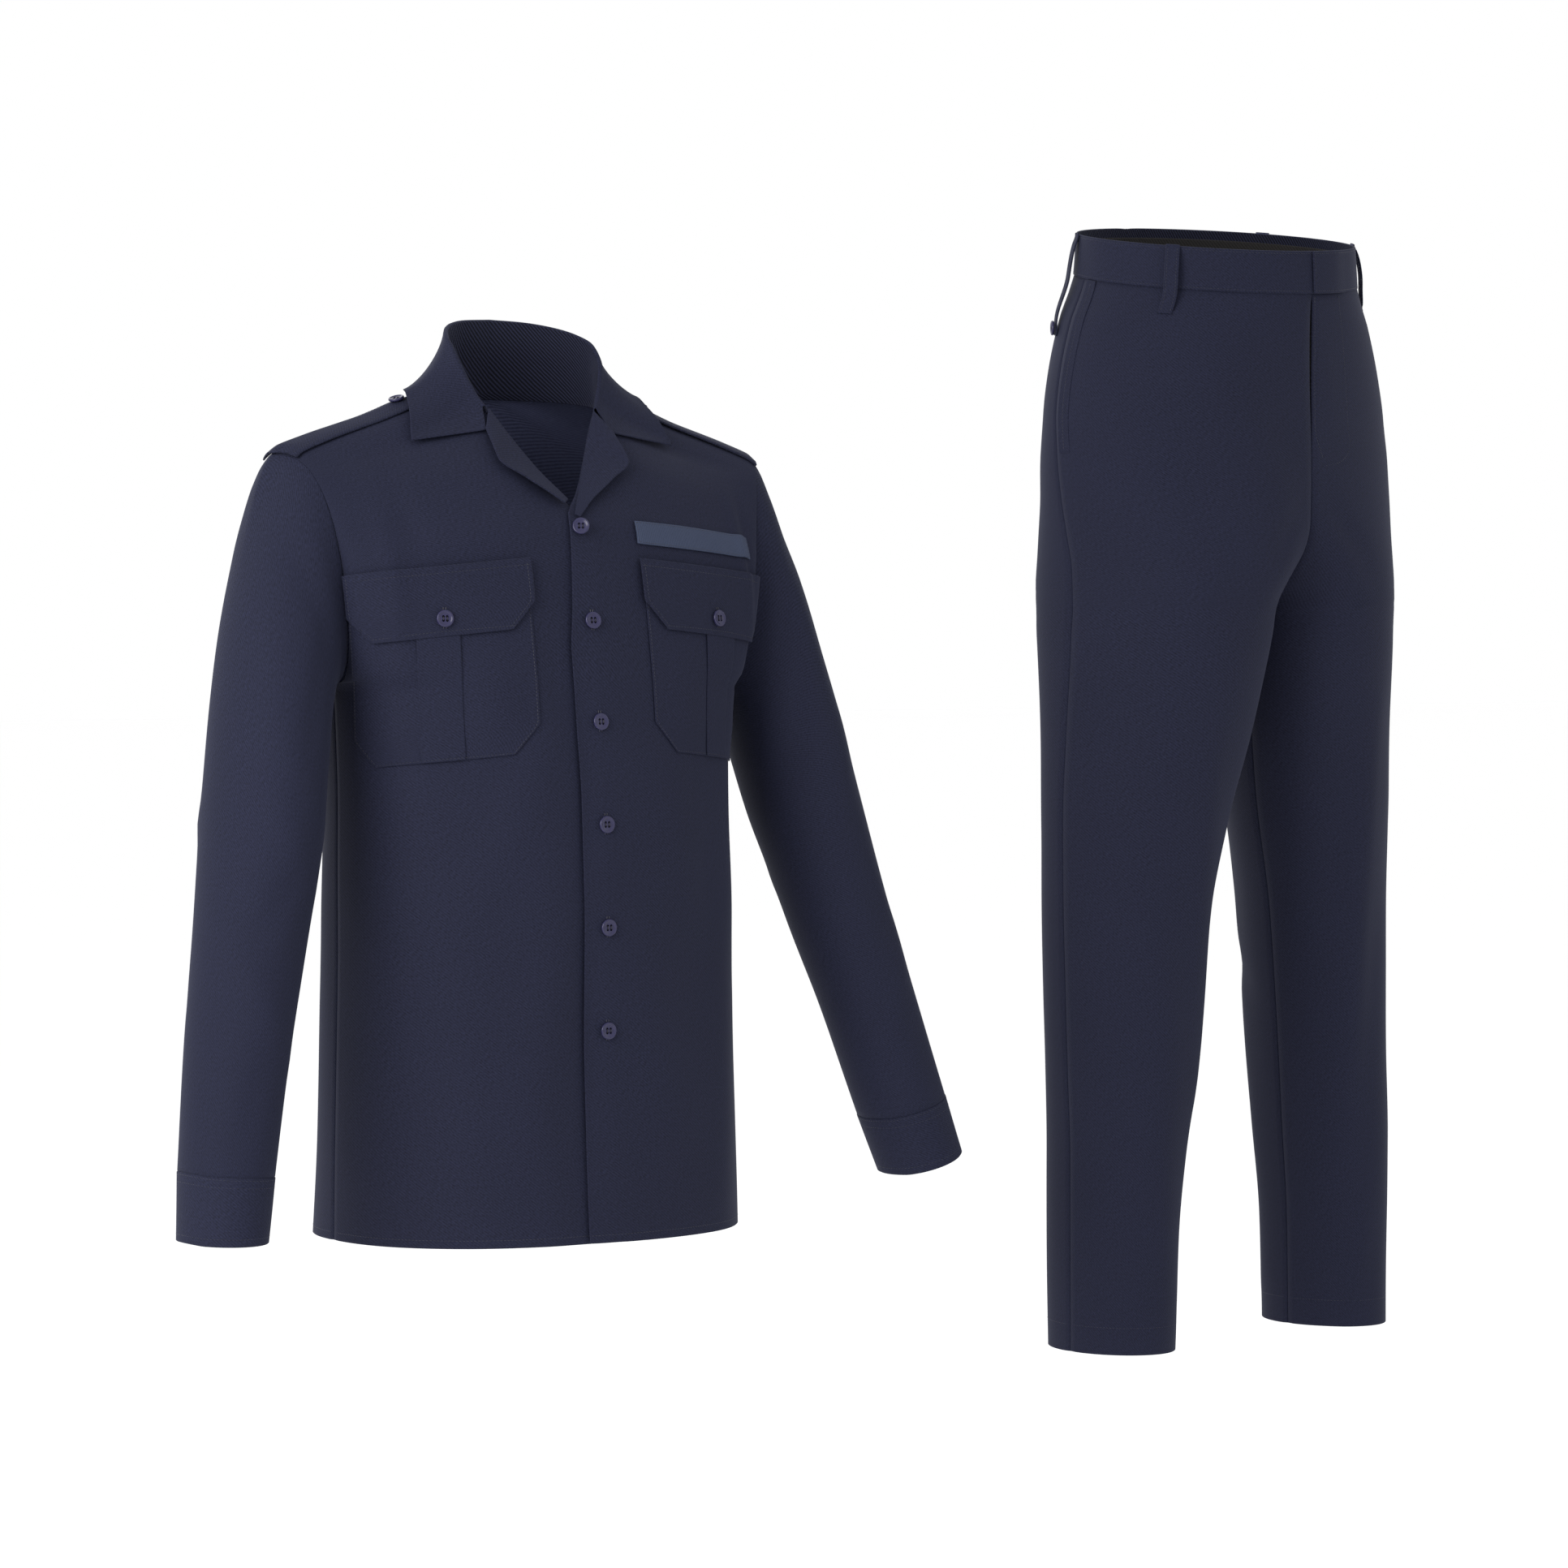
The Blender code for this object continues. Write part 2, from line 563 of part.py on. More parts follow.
def make_shirt_body(parent):
    levels = body_levels()[:, None]
    columns = np.linspace(0.0, 1.0, PANEL_COLUMNS + 1)[None, :]
    left = body(levels, columns, True, overlap(levels, "left"))
    right = body(levels, columns, True, overlap(levels, "right"))
    back = body(levels, columns, False)[:, ::-1]
    sleeve = sleeve_grid()
    pieces = {
        "shirt_front_left": (left, False),
        "shirt_front_right": (mirrored(right), False),
        "shirt_back_left": (back, False),
        "shirt_back_right": (mirrored(back), False),
        "sleeve_left": (hung(sleeve, "left"), True),
        "sleeve_right": (mirrored(hung(sleeve, "right")), True),
    }
    normals = shared_normals(pieces)
    walls = {}
    for name, (points, closed) in pieces.items():
        outer, inner = points, points - normals[name] * CLOTH
        if name == "shirt_front_right":
            inset = normals[name] * under_inset(points * np.array([-1.0, 1.0, 1.0]), levels)
            outer, inner = outer - inset, inner - inset
        if name.startswith("sleeve"):
            off = np.array([SLEEVE_STAND_OFF if name.endswith("left") else -SLEEVE_STAND_OFF, 0.0, 0.0])
            outer, inner = outer + off, inner + off
        kept = {"shirt_back_left": -1, "shirt_back_right": 0}.get(name)
        walls[name] = [pulled_back(grid, SEAM_GAP / 2, closed, kept) for grid in (outer, inner)]
        if kept is None:
            add_wall(name, *walls[name], CLOTH_LOOK, parent, closed)
    add_walls("shirt_back", [walls["shirt_back_left"], walls["shirt_back_right"]], CLOTH_LOOK, parent)


# Sleeves and cuffs

def sleeve_ring(along, angles):
    """A section of the sleeve: along is 0 at the armhole and 1 at the cuff seam."""
    table = numbered(SLEEVE)
    columns = ("along",) + SLEEVE_COLUMNS_OF
    outer = curve(table, columns, "outer_", along)
    inner = curve(table, columns, "inner_", along)
    depth = smooth(table, columns, "half_depth", along)
    return ring_points(outer, inner, depth, angles, along)


def ring_points(outer, inner, depth, angles, along):
    """A ring between an outer and an inner edge, squarer and hollowed towards the body near the armhole."""
    angles = angles[..., None]
    fade = 1 - ease(along / HOLLOW_END)
    power = 1 - (1 - ARMHOLE_SQUARENESS) * fade
    sideways = np.abs(np.sin(angles))
    forwards = np.sign(np.sin(angles)) * sideways ** power
    hollow = np.where(np.sin(angles) > 0, FRONT_HOLLOW, BACK_HOLLOW) * fade
    hollow = hollow * sideways ** HOLLOW_SPREAD * np.abs(np.cos(angles / 2)) ** HOLLOW_NARROWING
    points = (outer + inner) / 2 + (outer - inner) / 2 * np.cos(angles)
    return points - forwards * np.array([0.0, depth, 0.0]) - hollow * np.array([1.0, 0.0, 0.0])


def sleeve_angles():
    """One step for each row of the armhole, from the shoulder tip round the front and back."""
    return np.linspace(0.0, 2 * math.pi, 2 * ARMHOLE_ROWS + 1)[:-1]


def sleeve_grid():
    rows = [sleeve_ring(i / (len(SLEEVE) - 1), sleeve_angles()) for i in range(len(SLEEVE))]
    return np.stack(rows)


def hung(points, side):
    """The lower arm hangs a little higher on the left than on the right, most on its outer edge."""
    down = (HANG_START - points[..., 2]) / (HANG_START - HANG_END)
    down = np.clip(down, 0.0, 1.2) ** HANG_CURVE
    middle = points.mean(axis=1, keepdims=True)[..., 0]
    outwards = np.clip((points[..., 0] - middle) / HANG_HALF_WIDTH / 2 + 0.5, 0.0, 1.0)
    drop = (INNER_HANG + (OUTER_HANG - INNER_HANG) * outwards) * down
    result = points.copy()
    result[..., 2] += drop if side == "left" else -drop
    return result


def make_cuffs(parent):
    seam, end = np.array(SLEEVE[-1]), np.array(CUFF_END)
    rows = []
    for share in (0.0, 0.5, 1.0):
        section = seam + (end - seam) * share
        rows.append(ring_points(section[0:3], section[3:6], section[6], sleeve_angles(), 1.0))
    points = np.stack(rows) + np.array([SLEEVE_STAND_OFF, 0.0, 0.0])
    for side in ("left", "right"):
        grid = hung(points, side)
        grid = grid if side == "left" else mirrored(grid)
        normals = normals_of(grid, True)
        outer = pulled_back(grid + normals * CUFF_RAISE, SEAM_GAP / 2, True)
        inner = pulled_back(grid - normals * CLOTH, SEAM_GAP / 2, True)
        add_wall("cuff_" + side, outer, inner, CLOTH_LOOK, parent, True)


# Collar and lapels

def collar_profile(along):
    """The visible side of the collar at one place: up the inside of the neck, over the fold and down the leaf."""
    seam = curve(COLLAR, COLLAR_COLUMNS_OF, "seam_", along)
    fold = curve(COLLAR, COLLAR_COLUMNS_OF, "fold_", along)
    edge = curve(COLLAR, COLLAR_COLUMNS_OF, "edge_", along)
    out = edge - fold
    out[2] = 0.0
    out = out / np.linalg.norm(out)
    top = fold.copy()
    top[2] = max(top[2], seam[2] + LEAST_STAND)
    up = np.array([0.0, 0.0, 1.0])
    centre = top + out * FOLD_RADIUS - up * FOLD_RADIUS
    points = [seam + (centre - out * FOLD_RADIUS - seam) * share for share in (0.0, 0.5, 1.0)]
    for degrees in FOLD_TURNS:
        turn = math.radians(degrees)
        points.append(centre - out * FOLD_RADIUS * math.cos(turn) + up * FOLD_RADIUS * math.sin(turn))
    first = centre + out * FOLD_RADIUS
    notched = ease((along - NOTCH_START) / (1 - NOTCH_START))
    for share in LEAF_SHARES:
        flat, drop = share ** LEAF_SPREAD, 1 - (1 - share) ** LEAF_DROP
        soft = first + (edge - first) * np.array([flat, flat, drop])
        if share <= NOTCH_SHARE:
            cut = first + (np.array(NOTCH) - first) * share / NOTCH_SHARE
        else:
            cut = np.array(NOTCH) + (edge - np.array(NOTCH)) * (share - NOTCH_SHARE) / (1 - NOTCH_SHARE)
        points.append(soft + (cut - soft) * notched)
    return np.stack(points)


def make_collar(parent):
    along = np.linspace(0.0, 1.0, COLLAR_ROWS // 2 + 1)
    half = np.stack([collar_profile(value) for value in along])
    flipped = half[1:][::-1] * np.array([-1.0, 1.0, 1.0])
    points = np.concatenate([flipped, half])
    normals = normals_of(points)
    if normals[COLLAR_ROWS // 2, -1, 1] < 0:
        points = points[::-1]
        normals = normals_of(points)
    add_wall("collar", points, points - normals * CLOTH, CLOTH_LOOK, parent)


def lapel_grid(rows, columns, first):
    along = np.linspace(first, 1.0, rows + 1)
    roll = curve(LAPEL, LAPEL_COLUMNS_OF, "roll_", along)[:, None]
    edge = curve(LAPEL, LAPEL_COLUMNS_OF, "edge_", along)[:, None]
    share = np.linspace(0.0, 1.0, columns + 1)[None, :, None]
    return roll + (edge - roll) * share


def make_lapels(parent):
    for side, first in (("left", 0.0), ("right", UNDER_LAPEL_START)):
        points = lapel_grid(LAPEL_ROWS, LAPEL_COLUMNS, first)
        grid = points if side == "left" else mirrored(points + np.array([0.0, UNDER_LAPEL_SET_BACK, 0.0]))
        add_sheet("lapel_" + side, grid, LAYER_GAP, LAPEL_THICKNESS, CLOTH_LOOK, parent)


# Pockets, flaps, name strip and shoulder straps

def cut_panel(start, width, flare, top, bottom, cut, rows, columns):
    """Distances and heights of a panel that widens downwards and whose two lower corners are cut off."""
    down = np.linspace(0.0, 1.0, rows + 1)[:, None]
    share = np.linspace(0.0, 1.0, columns + 1)[None, :]
    height = bottom + (top - bottom) * down + 0 * share
    into_cut = np.clip((bottom + cut - height) / cut, 0.0, 1.0)
    narrowed = into_cut * cut
    wider = width + flare * (1 - down)
    distance = start + narrowed + (wider - 2 * narrowed) * share
    return distance, height


def add_on_chest(name, distance, height, side, lift, thickness, look, parent):
    points, normals = on_chest(distance, height)
    outer = points + normals * (lift + thickness)
    inner = points + normals * lift
    if side == "right":
        outer, inner = mirrored(outer), mirrored(inner)
    add_wall(name, outer, inner, look, parent)


def make_pockets(parent):
    pleat_lift = POCKET_LIFT + THIN_CLOTH + THIN_GAP
    flap_lift = pleat_lift + THIN_CLOTH + THIN_GAP
    for side in ("left", "right"):
        sizes = cut_panel(
            POCKET_START, POCKET_WIDTH, POCKET_FLARE, POCKET_TOP, POCKET_BOTTOM, POCKET_CUT, POCKET_ROWS, POCKET_COLUMNS
        )
        add_on_chest("pocket_" + side, *sizes, side, POCKET_LIFT, THIN_CLOTH, CLOTH_LOOK, parent)
        sizes = cut_panel(
            PLEAT_START, PLEAT_WIDTH, 0.0, POCKET_TOP, POCKET_BOTTOM, PLEAT_CUT, POCKET_ROWS, PLEAT_COLUMNS
        )
        add_on_chest("pocket_pleat_" + side, *sizes, side, pleat_lift, THIN_CLOTH, CLOTH_LOOK, parent)
        sizes = cut_panel(FLAP_START, FLAP_WIDTH, 0.0, FLAP_TOP, FLAP_BOTTOM, FLAP_CUT, FLAP_ROWS, FLAP_COLUMNS)
        add_on_chest("flap_" + side, *sizes, side, flap_lift, THIN_CLOTH, CLOTH_LOOK, parent)
    distance = np.linspace(STRIP_START, STRIP_START + STRIP_WIDTH, STRIP_COLUMNS + 1)[None, :]
    height = np.array([STRIP_TOP - STRIP_HEIGHT, STRIP_TOP])[:, None]
    height, distance = height + 0 * distance, distance + 0 * height
    add_on_chest("name_strip", distance, height, "left", STRIP_LIFT, STRIP_THICKNESS, STRIP_LOOK, parent)
    return flap_lift + THIN_CLOTH


def shoulder_walk(across, distance):
    """The shirt's surface at a distance from the shoulder seam: forwards where it is under 0, backwards over 0."""
    levels = np.linspace(2.0, 1.4, 61)
    line = body(levels, np.full(61, across), distance < 0)
    arc = np.concatenate([[0.0], np.cumsum(np.linalg.norm(np.diff(line, axis=0), axis=1))])
    return np.array([np.interp(abs(distance), arc, line[:, axis]) for axis in range(3)])


def strap_grid():
    rows = []
    for share in np.linspace(0.0, 1.0, STRAP_ROWS + 1):
        across = STRAP_START + (STRAP_END - STRAP_START) * share
        half = STRAP_HALF_WIDTH_IN + (STRAP_HALF_WIDTH_OUT - STRAP_HALF_WIDTH_IN) * share
        rows.append([shoulder_walk(across, half * step) for step in STRAP_STEPS])
    return np.array(rows)


def make_straps(parent):
    points = strap_grid()[:, ::-1]
    for side in ("left", "right"):
        grid = points if side == "left" else mirrored(points)
        normals = normals_of(grid)
        lift = LAYER_GAP * 2
        outer, inner = grid + normals * (lift + CLOTH), grid + normals * lift
        add_wall("shoulder_strap_" + side, outer, inner, CLOTH_LOOK, parent)
    return points


# Buttons

def button_mesh(name, radius):
    """A turned button with a raised rim and a dished middle, its back on the plane z = 0."""
    rim = radius * 0.80
    dish = radius * 0.68
    profile = [
        (radius * 0.86, 0.0),
        (radius, BUTTON_THICKNESS * 0.45),
        (radius * 0.93, BUTTON_THICKNESS * 0.90),
        (rim, BUTTON_THICKNESS),
        (dish, BUTTON_THICKNESS * 0.72),
    ]
    shape = bmesh.new()
    rings = []
    for across, up in profile:
        ring = []
        for i in range(BUTTON_SIDES):
            turn = 2 * math.pi * i / BUTTON_SIDES
            ring.append(shape.verts.new((across * math.cos(turn), across * math.sin(turn), up)))
        rings.append(ring)
    for low, high in zip(rings, rings[1:]):
        for i in range(BUTTON_SIDES):
            j = (i + 1) % BUTTON_SIDES
            shape.faces.new([low[i], low[j], high[j], high[i]])
    shape.faces.new(rings[0][::-1])
    shape.faces.new(rings[-1])
    mesh = bpy.data.meshes.new(name)
    shape.to_mesh(mesh)
    shape.free()
    mesh.shade_smooth()
    mesh.set_sharp_from_angle(angle=math.radians(35))
    mesh.materials.append(new_material(name, *BUTTON_LOOK))
    return mesh


def add_button(name, mesh, point, normal, parent):
    obj = bpy.data.objects.new(name, mesh)
    bpy.context.scene.collection.objects.link(obj)
    obj.parent = parent
    obj.matrix_local = Matrix.Translation(Vector(point)) @ Vector(normal).to_track_quat("Z", "Y").to_matrix().to_4x4()
    return obj


def make_shirt_buttons(parent, flap_top, strap):
    large, small = button_mesh("button", BUTTON_RADIUS), button_mesh("small_button", SMALL_BUTTON_RADIUS)
    flip = np.array([-1.0, 1.0, 1.0])
    for number, (height, lift) in enumerate(BUTTONS, 1):
        point, normal = front_point(np.array(0.0), np.array(height))
        add_button(f"front_button_{number}", large, point + normal * lift, normal, parent)
    point, normal = on_chest(np.array(FLAP_BUTTON_AT[0]), np.array(FLAP_BUTTON_AT[1]))
    point = point + normal * (flap_top + LAYER_GAP)
    add_button("flap_button_left", large, point, normal, parent)
    add_button("flap_button_right", large, point * flip, normal * flip, parent)
    middle, directions = strap[:, STRAP_MIDDLE], normals_of(strap)[:, STRAP_MIDDLE]
    point = np.array([np.interp(STRAP_BUTTON_X, middle[:, 0], middle[:, axis]) for axis in range(3)])
    normal = unit(np.array([np.interp(STRAP_BUTTON_X, middle[:, 0], directions[:, axis]) for axis in range(3)]))
    point = point + normal * (4 * LAYER_GAP + CLOTH)
    add_button("strap_button_left", small, point, normal, parent)
    add_button("strap_button_right", small, point * flip, normal * flip, parent)


# Trousers

def leg_section(height, angle):
    """A leg's outer surface on the wearer's left: angle 0 is the front, 90 degrees the side and 180 the back.

    Towards the waist each level section slopes, lower in front than behind.
    """
    height, angle = np.broadcast_arrays(np.asarray(height, float), np.asarray(angle, float))
    side = smooth(LEG, LEG_COLUMNS_OF, "side", height)
    share = smooth(LEG, LEG_COLUMNS_OF, "share", height)
    half_width = side / (1 + share)
    forwards = np.cos(angle)
    front = smooth(LEG, LEG_COLUMNS_OF, "front", height)
    back = smooth(LEG, LEG_COLUMNS_OF, "back", height)
    depth = np.where(forwards > 0, front, back)
    x = half_width * (share + np.sin(angle))
    skew = smooth(LEG, LEG_COLUMNS_OF, "skew", height) * half_width * np.sin(angle)
    y = smooth(LEG, LEG_COLUMNS_OF, "centre_y", height) - depth * forwards + skew
    towards_waist = ease((height - CROTCH_HEIGHT) / (BAND_SEAM - CROTCH_HEIGHT))
    return np.stack([x, y, height + (WAIST_SLOPE * y - WAIST_DROP) * towards_waist], axis=-1)


def first_angle(height):
    """Where a section meets the centre plane in front: behind the crotch it becomes the inside leg."""
    share = np.clip(smooth(LEG, LEG_COLUMNS_OF, "share", height), 0.0, 1.0)
    return -np.arcsin(share)


def seam_angle(height):
    return np.radians(smooth(LEG, LEG_COLUMNS_OF, "seam_angle", height))


def leg_levels():
    above = np.linspace(BAND_SEAM, CROTCH_HEIGHT, LEG_ROWS // 3 + 1)
    below = np.linspace(CROTCH_HEIGHT, TROUSER_HEM, LEG_ROWS - LEG_ROWS // 3 + 1)[1:]
    return np.concatenate([above, below])[::-1]


def fly_slit(height):
    """How far the under front stands back from the fly edge, widest near the waist."""
    down = np.clip((FLY_TOP - height) / (FLY_TOP - FLY_BOTTOM), 0.0, 1.0)
    return FLY_SLIT * np.sin(math.pi * down ** 0.55)


def make_legs(parent):
    levels = leg_levels()[:, None]
    share = np.linspace(0.0, 1.0, LEG_COLUMNS + 1)[None, :]
    start, seam = first_angle(levels), seam_angle(levels)
    front = leg_section(levels, start + (seam - start) * share)
    back = leg_section(levels, seam + (math.pi - start - seam) * share)
    pieces = {
        "trouser_front_left": (front, False),
        "trouser_back_left": (back, False),
        "trouser_front_right": (mirrored(front), False),
        "trouser_back_right": (mirrored(back), False),
    }
    normals = shared_normals(pieces)
    for name, (points, closed) in pieces.items():
        outer = pulled_back(points, SEAM_GAP / 2)
        inner = pulled_back(points - normals[name] * CLOTH, SEAM_GAP / 2)
        if name == "trouser_front_right":
            slit = fly_slit(levels) * np.clip(1 - 6 * share[:, ::-1], 0.0, 1.0)
            outer[..., 0] -= slit
            inner[..., 0] -= slit
        add_wall(name, outer, inner, CLOTH_LOOK, parent)


def band_grid(first, last, top, bottom, rows, columns):
    """Part of the waist between two angles, measured from the front towards the wearer's left."""
    angle = np.radians(np.linspace(first, last, columns + 1))[None, :]
    height = np.linspace(bottom, top, rows + 1)[:, None]
    return leg_section(height + 0 * angle, angle + 0 * height)


def make_waist(parent):
    lap = math.degrees(BAND_LAP / WAIST_RADIUS)
    left = band_grid(0.0, 180.0, BAND_TOP, BAND_SEAM, 2, BAND_COLUMNS)
    normals = normals_of(left)
    lift = (BAND_LIFT * (1 - ease((left[..., 0] - BAND_LAP) / BAND_LAP)) * (left[..., 1] < 0))[..., None]
    outer = pulled_back(left + normals * lift, SEAM_GAP / 2)
    inner = pulled_back(left + normals * (lift - CLOTH), SEAM_GAP / 2)
    add_wall("waistband_left", outer, inner, CLOTH_LOOK, parent)
    right = band_grid(-lap, 180.0, BAND_TOP, BAND_SEAM, 2, BAND_COLUMNS + 2)
    normals = normals_of(right)
    outer = mirrored(pulled_back(right, SEAM_GAP / 2))
    inner = mirrored(pulled_back(right - normals * CLOTH, SEAM_GAP / 2))
    add_wall("waistband_right", outer, inner, CLOTH_LOOK, parent)

    top, bottom = BAND_TOP - CURTAIN_TOP_INSET, BAND_SEAM + CURTAIN_GAP
    half = band_grid(0.0, 180.0, top, bottom, 1, BAND_COLUMNS)[:, 1:]
    normals = normals_of(half)
    outer = half - normals * (CLOTH + CURTAIN_GAP)
    inner = half - normals * (CLOTH + CURTAIN_GAP + CURTAIN_THICKNESS)
    outer = np.concatenate([outer, mirrored(outer)[:, 1:]], axis=1)
    inner = np.concatenate([inner, mirrored(inner)[:, 1:]], axis=1)
    add_wall("waist_curtain", outer, inner, LINING_LOOK, parent)

    height = np.linspace(FLY_BOTTOM, FLY_TOP - 0.002, 7)[:, None]
    across = np.linspace(-FLY_UNDERLAP / 2, FLY_UNDERLAP / 2, 5)[None, :]
    angle = np.arcsin(across / WAIST_RADIUS)
    fly = leg_section(height + 0 * angle, angle + 0 * height)
    normals = normals_of(fly)
    outer = fly - normals * (CLOTH + FLY_GAP)
    inner = fly - normals * (CLOTH + FLY_GAP + CLOTH)
    add_wall("fly_underlap", outer, inner, LINING_LOOK, parent)


def loop_grid(angle, top, foot, stand_off, gap):
    """A belt loop's centre surface: sewn down at its top and foot and standing off between them."""
    share = np.linspace(0.0, 1.0, 9)
    height = foot + (top - foot) * share
    off = stand_off * np.sin(math.pi * np.clip(share * 1.12 - 0.06, 0, 1)) ** 0.6
    point = leg_section(np.minimum(height, BAND_TOP), np.radians(angle) + 0 * height)
    point[:, 2] += np.maximum(height - BAND_TOP, 0.0)
    ahead = leg_section(np.minimum(height, BAND_TOP), np.radians(angle + 0.5) + 0 * height)
    along = unit(ahead - leg_section(np.minimum(height, BAND_TOP), np.radians(angle) + 0 * height))
    out = unit(np.cross(along, np.array([0.0, 0.0, 1.0])))
    centre = point + out * (gap + off)[:, None]
    sides = [centre + along * LOOP_WIDTH * step for step in (-0.5, 0.0, 0.5)]
    return np.stack(sides, axis=1), out


def make_loops(parent):
    places = (
        ("front_loop", FRONT_LOOP_ANGLE, LOOP_FOOT),
        ("side_loop", SIDE_LOOP_ANGLE, SIDE_LOOP_FOOT),
    )
    small = button_mesh("loop_button", SMALL_BUTTON_RADIUS)
    for name, angle, foot in places:
        for side, gap in (("left", LEFT_LOOP_GAP), ("right", RIGHT_LOOP_GAP)):
            grid, out = loop_grid(angle, LOOP_TOP, foot, LOOP_STAND_OFF, gap)
            points = grid if side == "left" else mirrored(grid)
            normals = normals_of(points)
            add_wall(name + "_" + side, points + normals * LOOP_THICKNESS, points, CLOTH_LOOK, parent)
            if name == "side_loop":
                flip = np.array([1.0 if side == "left" else -1.0, 1.0, 1.0])
                place = (grid[0, 1] + out[0] * (LOOP_THICKNESS + LAYER_GAP)) * flip
                place[2] += SMALL_BUTTON_RADIUS
                add_button("loop_button_" + side, small, place, out[0] * flip, parent)


def main():
    for obj in list(bpy.data.objects):
        bpy.data.objects.remove(obj, do_unlink=True)
    shirt = bpy.data.objects.new("shirt", None)
    trousers = bpy.data.objects.new("trousers", None)
    for empty in (shirt, trousers):
        bpy.context.scene.collection.objects.link(empty)
    trousers.location = (TROUSERS_X, 0.0, 0.0)
    trousers.rotation_euler = (0.0, 0.0, TROUSERS_TURN)
    make_shirt_body(shirt)
    make_cuffs(shirt)
    make_collar(shirt)
    make_lapels(shirt)
    flap_top = make_pockets(shirt)
    strap = make_straps(shirt)
    make_shirt_buttons(shirt, flap_top, strap)
    make_legs(trousers)
    make_waist(trousers)
    make_loops(trousers)


main()
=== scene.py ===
"""The looks of a flame-resistant uniform: a long-sleeved shirt and trousers, hollow and filled out as worn.

The cloth is thin shells on the forms of the solids, worked out from the same tables and functions, with soft
folds, rounded edges, stitches and a woven material. Metres, +Z up.
"""

import math

import bmesh
import bpy
import numpy as np
from mathutils import Matrix, Vector


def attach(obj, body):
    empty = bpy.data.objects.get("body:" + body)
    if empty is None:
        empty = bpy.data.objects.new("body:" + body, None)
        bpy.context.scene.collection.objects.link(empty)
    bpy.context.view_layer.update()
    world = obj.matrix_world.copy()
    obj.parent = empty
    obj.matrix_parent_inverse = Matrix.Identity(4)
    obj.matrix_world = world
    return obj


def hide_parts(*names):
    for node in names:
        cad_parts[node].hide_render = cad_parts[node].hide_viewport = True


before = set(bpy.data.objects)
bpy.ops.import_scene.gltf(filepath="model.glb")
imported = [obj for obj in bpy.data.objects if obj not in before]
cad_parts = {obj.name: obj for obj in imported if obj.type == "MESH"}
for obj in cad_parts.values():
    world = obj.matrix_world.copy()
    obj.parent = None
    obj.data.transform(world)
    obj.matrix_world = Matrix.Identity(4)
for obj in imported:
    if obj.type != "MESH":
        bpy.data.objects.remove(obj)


# Cloth and seams
CLOTH = 0.0018
SEAM_GAP = 0.0004
LAYER_GAP = 0.0005

# Where the trousers stand
TROUSERS_X = 0.763
TROUSERS_TURN = math.radians(9.0)

# Shirt body
HEM_HEIGHT = -0.731
UNDERARM_HEIGHT = -0.250
BREAK_UP = 1.56
OVERLAP_COLUMNS_OF = ("up", "left", "right")
OVERLAP = (
    (0.00, 0.0220, 0.0180),
    (1.10, 0.0220, 0.0180),
    (1.22, 0.0178, 0.0180),
    (1.44, 0.0108, 0.0140),
    (1.50, 0.0085, 0.0060),
    (BREAK_UP, 0.0000, 0.0000),
    (2.00, 0.0000, 0.0000),
)
UNDERLAP_DEPTH = CLOTH + 0.0020
UNDERLAP_REACH = (0.020, 0.065)
UNDERLAP_FADE = 0.2
BACK_FULLNESS = 0.010
BODY_COLUMNS_OF = ("height", "half_width", "front", "back", "power")
BODY = (
    (-0.731, 0.1925, 0.1485, 0.1430, 2.3),
    (-0.640, 0.1910, 0.1440, 0.1310, 2.3),
    (-0.550, 0.1895, 0.1405, 0.1265, 2.3),
    (-0.460, 0.1880, 0.1400, 0.1255, 2.3),
    (-0.370, 0.1880, 0.1376, 0.1240, 2.2),
    (-0.283, 0.1910, 0.1280, 0.1200, 2.2),
    (-0.250, 0.1930, 0.1235, 0.1180, 2.3),
)

# The line that each half of the shirt starts from: centre front, roll line and neck, or centre back and neck.
# It runs from the underarm level (0) to the shoulder seam at the neck (1).
LINE_COLUMNS_OF = ("along", "x", "y", "z")
FRONT_LINE = (
    (0.00, 0.0000, -0.1235, -0.2500),
    (0.20, 0.0000, -0.1140, -0.1940),
    (0.36, 0.0000, -0.1035, -0.1400),
    (0.46, 0.0000, -0.0940, -0.1110),
    (0.53, 0.0012, -0.0835, -0.0950),
    (0.59, 0.0160, -0.0651, -0.0738),
    (0.66, 0.0280, -0.0520, -0.0558),
    (0.74, 0.0403, -0.0383, -0.0360),
    (0.84, 0.0535, -0.0260, -0.0155),
    (0.92, 0.0655, -0.0110, -0.0085),
    (1.00, 0.0770, 0.0100, -0.0030),
)
NAPE = 2 / 3
BACK_LINE = (
    (0.00, 0.0000, 0.1180, -0.2500),
    (0.25, 0.0000, 0.1140, -0.1700),
    (0.50, 0.0000, 0.1020, -0.0800),
    (NAPE, 0.0000, 0.0690, 0.0040),
    (0.78, 0.0350, 0.0620, 0.0035),
    (0.89, 0.0600, 0.0450, 0.0015),
    (0.95, 0.0730, 0.0260, -0.0010),
    (1.00, 0.0770, 0.0100, -0.0030),
)

